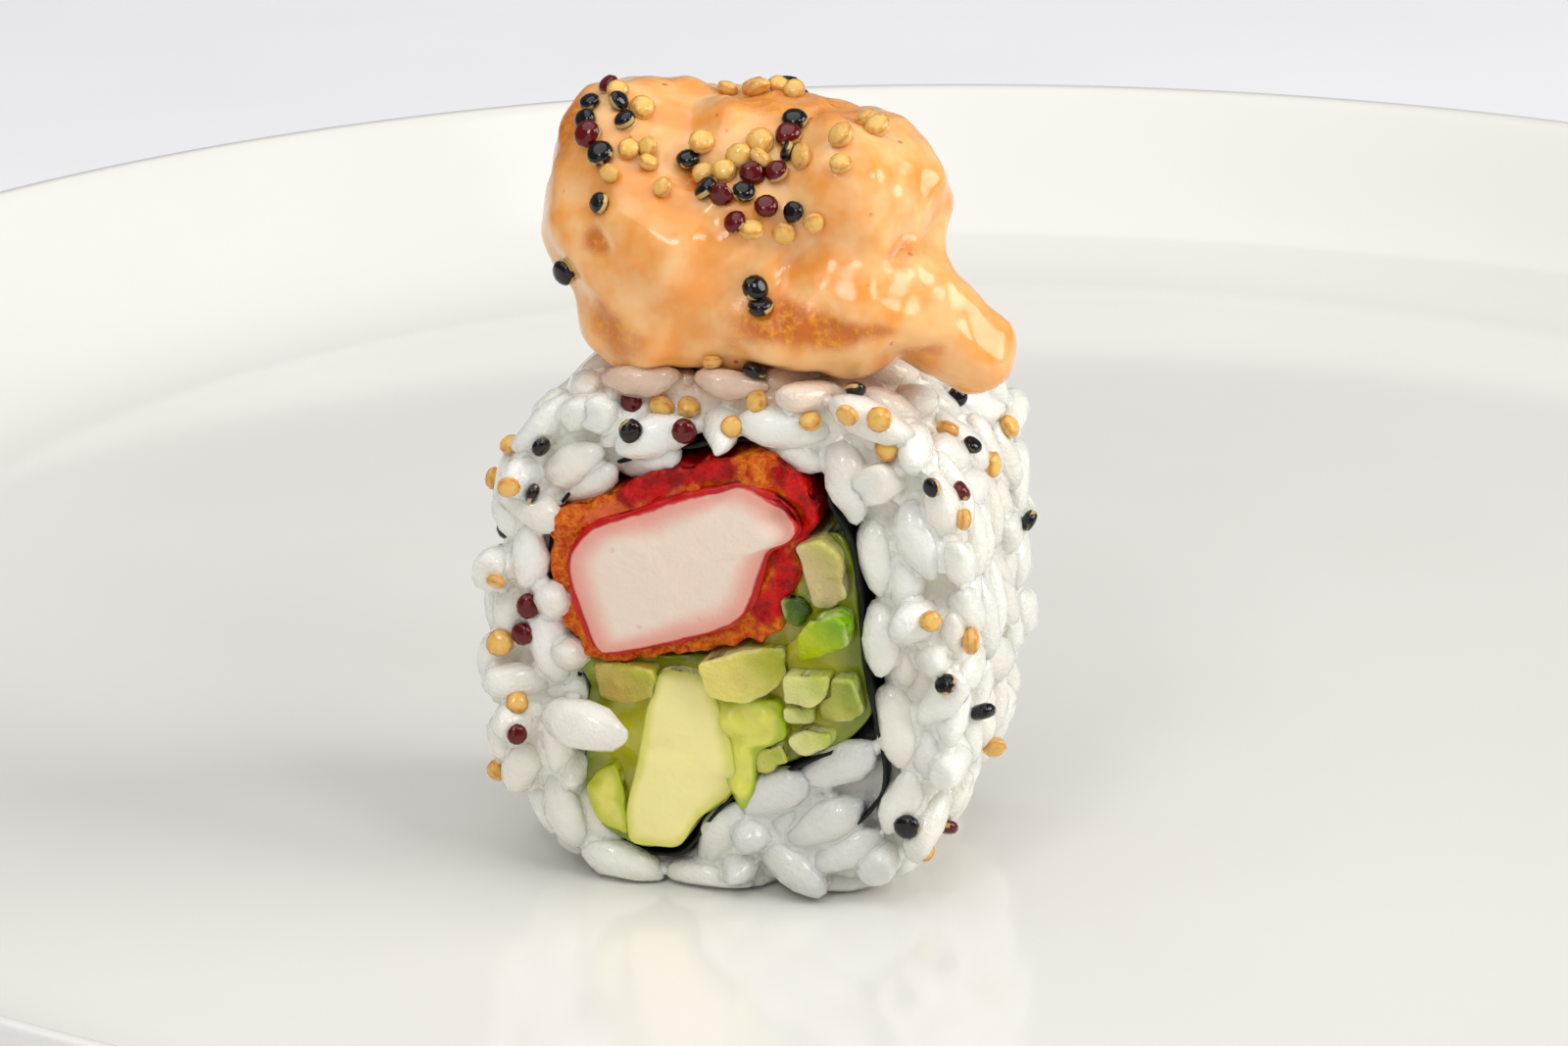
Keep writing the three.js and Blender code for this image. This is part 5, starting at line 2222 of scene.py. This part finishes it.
@dataclass
class Seeds:
    """Quinoa seeds strewn on the sauce and pressed into the rice."""

    section: Section
    topping: Topping
    roll: RollFrame
    across: float = 2.05
    thick: float = 1.5
    seed: int = 19
    finish: Finish = CookedQuinoa("cooked_quinoa")
    size_spread: Flat = (0.8, 1.12)
    lean: float = 0.36
    apart: float = 0.68
    proud_of_sauce: float = 0.28
    proud_of_rice: float = 0.3
    tries: int = 60
    look_from: float = 60.0
    look_over: float = 9.0
    look_near: float = 5.0
    gatherings: tuple[tuple[Place, Place, str], ...] = (
        ((-2.5, -7.8, 58.9), (6.8, 2.6, 2.0), "bgrbggrbgggbrgggbgg"),
        ((3.1, -9.7, 56.2), (4.0, 0.8, 1.8), "bgrbgrg"),
        ((-10.9, -4.3, 61.9), (1.8, 3.5, 2.4), "brbrgbg"),
        ((3.2, -4.3, 61.2), (0.7, 1.3, 0.8), "br"),
        ((-10.1, -9.7, 55.8), (0.2, 0.2, 0.2), "b"),
        ((-13.7, -8.8, 50.4), (1.0, 1.3, 0.4), "bb"),
        ((2.5, -11.3, 50.3), (0.6, 0.5, 1.2), "bb"),
        ((7.7, -6.1, 61.1), (1.6, 3.5, 1.4), "ggggg"),
        ((-2.2, 2.6, 62.8), (8.0, 2.4, 1.0), "gggggb"),
        ((0.0, 9.0, 58.0), (9.0, 3.0, 4.0), "gbgrg"),
    )
    on_cut: tuple[tuple[float, float, str], ...] = (
        (-14.9, 36.6, "b"), (-15.5, 32.8, "b"), (-16.9, 33.6, "g"), (-7.6, 40.4, "r"), (-7.0, 38.6, "b"),
        (-3.0, 38.8, "r"), (-5.2, 40.1, "g"), (2.9, 41.2, "g"), (7.1, 40.2, "g"), (12.7, 41.0, "g"),
        (10.4, 41.4, "g"), (12.9, 38.2, "g"), (0.9, 39.4, "g"), (15.1, 7.4, "b"), (-4.8, 2.6, "b"),
        (-16.4, 13.1, "r"), (-16.8, 14.9, "g"), (-16.1, 20.8, "r"), (-15.6, 23.3, "r"), (-18.2, 25.4, "g"),
        (-18.2, 19.8, "g"), (16.9, 25.0, "g"), (18.4, 19.8, "b"), (15.8, 4.0, "g"), (17.2, 36.0, "b"),
    )
    round_side: tuple[tuple[float, float, float, str], ...] = (
        (18.5, -10.6, 34.7, "r"), (19.1, -12.0, 33.1, "g"), (16.8, -3.4, 37.9, "g"), (17.9, -3.4, 36.1, "b"),
        (19.0, 0.9, 33.5, "g"), (18.2, 5.3, 35.5, "r"), (18.7, 7.9, 34.3, "g"), (20.2, 7.2, 26.5, "b"),
        (20.3, 1.1, 24.4, "g"), (20.3, -11.6, 22.9, "g"), (20.2, -8.6, 15.7, "b"), (19.6, -3.0, 11.0, "g"),
        (18.0, -9.0, 5.6, "r"), (16.0, 3.2, 38.8, "b"), (-19.6, -11.5, 8.2, "g"), (-17.6, -10.8, 35.4, "g"),
        (2.4, -11.4, 43.8, "b"), (10.4, -11.0, 42.6, "b"), (-1.0, -11.6, 43.5, "g"), (-3.6, -11.2, 43.6, "g"),
    )
    strewn_letters: str = "bgrggbg"
    strewn_left: int = 12
    left_side: float = -19.5
    left_along: Flat = (-9.0, 11.0)
    left_up: Flat = (6.0, 38.0)
    strewn_far: int = 9
    far_inset: float = 3.2
    far_steps: int = 90
    far_lowest: float = 3.0

    @staticmethod
    def kind(letter: str) -> SeedKind:
        """The seed's colour by its letter."""
        return {"b": SeedKind.BLACK, "r": SeedKind.RED, "g": SeedKind.GOLDEN}[letter]

    def _laid(self, spots: list[Spot], rng: np.random.Generator) -> Layout:
        """A layout from places, outward directions and kinds.

        Args:
            spots: The seeds.
            rng: The draws' source.

        Returns:
            The layout.
        """
        count = len(spots)
        spread = rng.uniform(*self.size_spread, (count, 1))
        size = np.array([self.across, self.across, self.thick]) / 2 * spread
        turns = []
        for _, out, _ in spots:
            lean = out + rng.normal(0, self.lean, 3)
            along = np.cross(lean, rng.normal(0, 1, 3))
            turns.append(turn_to(along, lean))
        free = np.full(count, FREE)
        kinds = np.array([kind.value for _, _, kind in spots])
        places = np.array([at for at, _, _ in spots])
        return Layout(places, np.array(turns), size, -free, free, {"kind": kinds})

    def _scatter(self, name: str, layout: Layout, slot: str) -> None:
        """Makes and dresses one piece of seeds.

        Args:
            name: The piece's name.
            layout: Where the seeds lie.
            slot: Not used.
        """
        tree = KernelTree(
            KernelKind.SEED, self.finish, sides=12, rings=7, bend=0.1, taper=0.08, floor=-FREE, lumps=0.3
        )
        settle(tree.scatter(name, layout, self.roll.matrix()), self.finish)

    def _surface(self, piece: bpy.types.Object) -> BVHTree:
        """A piece's surface in the roll's own millimetres.

        Args:
            piece: The piece, in the row frame.

        Returns:
            A tree to cast rays at.
        """
        back = self.roll.matrix().inverted()
        points = [back @ v.co for v in piece.data.vertices]
        return BVHTree.FromPolygons(points, [tuple(p.vertices) for p in piece.data.polygons])

    def on_topping(self, sauce: bpy.types.Object) -> None:
        """Strews seeds on the sauce in loose gatherings.

        Args:
            sauce: The topping's piece.
        """
        rng = np.random.default_rng(self.seed)
        surface = self._surface(sauce)
        heart = Vector(self.topping.heart)
        spots: list[Spot] = []
        for middle, spread, letters in self.gatherings:
            for letter in letters:
                for _ in range(self.tries):
                    aim = Vector(np.array(middle) + rng.uniform(-1, 1, 3) * spread)
                    way = (aim - heart).normalized()
                    hit, normal, _, _ = surface.ray_cast(heart + way * self.look_from, -way)
                    if hit is None:
                        continue
                    spot = np.array(hit + normal * self.thick * self.proud_of_sauce)
                    if all(np.linalg.norm(spot - at) > self.across * self.apart for at, _, _ in spots):
                        spots.append((spot, np.array(normal), self.kind(letter)))
                        break
        log.info("strewed %d seeds on the sauce", len(spots))
        self._scatter("topping_seeds", self._laid(spots, rng), "topping")

    def on_rice(self, pieces: Sequence[bpy.types.Object]) -> None:
        """Presses seeds into the rice, where they show and round the other sides.

        Args:
            pieces: The rice's pieces; a seed lies on the one that stands out.
        """
        rng = np.random.default_rng(self.seed + 1)
        surfaces = [self._surface(piece) for piece in pieces]
        aims: list[tuple[Vector, Vector, str]] = []
        for x, z, letter in self.on_cut:
            aims.append((Vector((x, self.section.near, z)), Vector((0, -1, 0)), letter))
        for x, y, z, letter in self.round_side:
            aims.append((Vector((x, y, z)), Vector((x, 0, z - self.section.middle)).normalized(), letter))
        for _, letter in zip(range(self.strewn_left), itertools.cycle(self.strewn_letters)):
            z, y = rng.uniform(*self.left_up), rng.uniform(*self.left_along)
            aims.append((Vector((self.left_side, y, z)), Vector((-1, 0, 0)), letter))
        places, _ = self.section.ring(self.far_steps, self.far_inset)
        for _, letter in zip(range(self.strewn_far), itertools.cycle(self.strewn_letters)):
            x, z = places[rng.integers(len(places))]
            at = Vector((x, self.section.far, max(z, self.far_lowest)))
            aims.append((at, Vector((0, 1, 0)), letter))
        spots: list[Spot] = []
        for aim, out, letter in aims:
            hits = [surface.ray_cast(aim + out * self.look_over, -out) for surface in surfaces]
            met = [(away, hit, normal) for hit, normal, _, away in hits if hit is not None]
            if not met:
                continue
            _, hit, normal = min(met, key=lambda found: found[0])
            if (hit - aim).length > self.look_near:
                continue
            normal = (normal + out).normalized()
            spot = np.array(hit + normal * self.thick * self.proud_of_rice)
            spots.append((spot, np.array(normal), self.kind(letter)))
        log.info("pressed %d seeds into the rice", len(spots))
        self._scatter("rice_seeds", self._laid(spots, rng), "rice")


@dataclass(frozen=True)
class Lamp:
    """A round soft light that faces the roll: place and width in metres, power in watts, tint."""

    name: str
    at: Place
    width: float
    power: float
    tint: Place = (1.0, 1.0, 1.0)


@dataclass
class Studio:
    """Pale table, soft light and the camera."""

    roll: RollFrame
    section: Section
    elevation_deg: float = 19.0
    distance: float = 450.0
    focal_px: float = 5715.0
    image: tuple[int, int] = (1600, 1067)
    foot_px: Flat = (737.0, 911.0)
    sensor_mm: float = 36.0
    clip: Flat = (0.02, 20.0)
    table_half: float = 2.5
    aim_height: float = 25.0
    room_tint: Colour = (0.95, 0.96, 1.0, 1.0)
    room_light: float = 0.22
    lamps: tuple[Lamp, ...] = (
        Lamp("key_box", (1.05, -0.2, 0.65), 0.8, 9.6, (1.0, 0.98, 0.95)),
        Lamp("top_box", (-0.25, -0.1, 1.2), 1.5, 8.4),
        Lamp("front_fill", (-0.3, -1.1, 0.35), 0.8, 1.2, (1.0, 0.98, 0.96)),
        Lamp("left_spark", (-0.35, -0.75, 0.8), 0.24, 1.5),
        Lamp("right_spark", (0.45, -0.6, 0.75), 0.28, 1.5),
    )

    def table(self) -> None:
        """Lays the pale table under the plate."""
        h = self.table_half / MM
        corners = np.array([(-h, -h, 0), (h, -h, 0), (h, h, 0), (-h, h, 0)], float)
        floor = new_piece("pale_table", corners, [(0, 1, 2, 3)], Matrix.Scale(MM, 4))
        floor.data.materials.append(PaleTable("pale_table").material())

    def hang(self, lamp: Lamp) -> None:
        """Hangs one soft light.

        Args:
            lamp: The light.
        """
        data = bpy.data.lights.new(lamp.name, "AREA")
        data.shape = "DISK"
        data.size = lamp.width
        data.energy = lamp.power
        data.color = lamp.tint
        made = bpy.data.objects.new(lamp.name, data)
        bpy.context.scene.collection.objects.link(made)
        made.location = lamp.at
        aim = self.roll.point(0, 0, self.aim_height) - Vector(lamp.at)
        made.rotation_euler = aim.to_track_quat("-Z", "Y").to_euler()

    def light(self) -> None:
        """Sets the room's even light and hangs the soft boxes."""
        world = bpy.data.worlds.new("pale_room")
        world.use_nodes = True
        room = world.node_tree.nodes["Background"].inputs
        room["Color"].default_value = self.room_tint
        room["Strength"].default_value = self.room_light
        bpy.context.scene.world = world
        for lamp in self.lamps:
            self.hang(lamp)

    def camera(self) -> None:
        """Places the camera at the picture's angle."""
        e = math.radians(self.elevation_deg)
        ahead = Vector((0, math.cos(e), -math.sin(e)))
        up = Vector((0, math.sin(e), math.cos(e)))
        right = Vector((1, 0, 0))
        off_x = (self.foot_px[0] - self.image[0] / 2) / self.focal_px
        off_y = (self.image[1] / 2 - self.foot_px[1]) / self.focal_px
        foot = self.roll.point(0, self.section.near, 0)
        data = bpy.data.cameras.new("view")
        data.sensor_fit = "HORIZONTAL"
        data.sensor_width = self.sensor_mm
        data.lens = self.focal_px / self.image[0] * self.sensor_mm
        data.clip_start, data.clip_end = self.clip
        made = bpy.data.objects.new("view", data)
        made.location = foot - (ahead + right * off_x + up * off_y) * (self.distance * MM)
        made.rotation_euler = ahead.to_track_quat("-Z", "Y").to_euler()
        bpy.context.scene.collection.objects.link(made)
        bpy.context.scene.camera = made

    def build(self) -> None:
        """Sets up table, light, camera and plain colour rendering."""
        self.table()
        self.light()
        self.camera()
        bpy.context.scene.view_settings.view_transform = "Standard"


def main() -> None:
    """Builds every piece in order."""
    logging.basicConfig(level=logging.INFO, format="%(name)s: %(message)s")
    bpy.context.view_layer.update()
    roll, section = RollFrame(), Section()
    Plate().build()
    nori = Nori(section, roll)
    nori.build()
    CrabStick(section, roll).build()
    Filling(section, roll).build()
    topping = Topping(section, roll)
    sauce = topping.build()
    rice = Rice(section, nori, topping, roll).build()
    seeds = Seeds(section, topping, roll)
    seeds.on_topping(sauce)
    seeds.on_rice(rice)
    Studio(roll, section).build()
    bpy.context.view_layer.update()


if __name__ == "__main__":
    main()
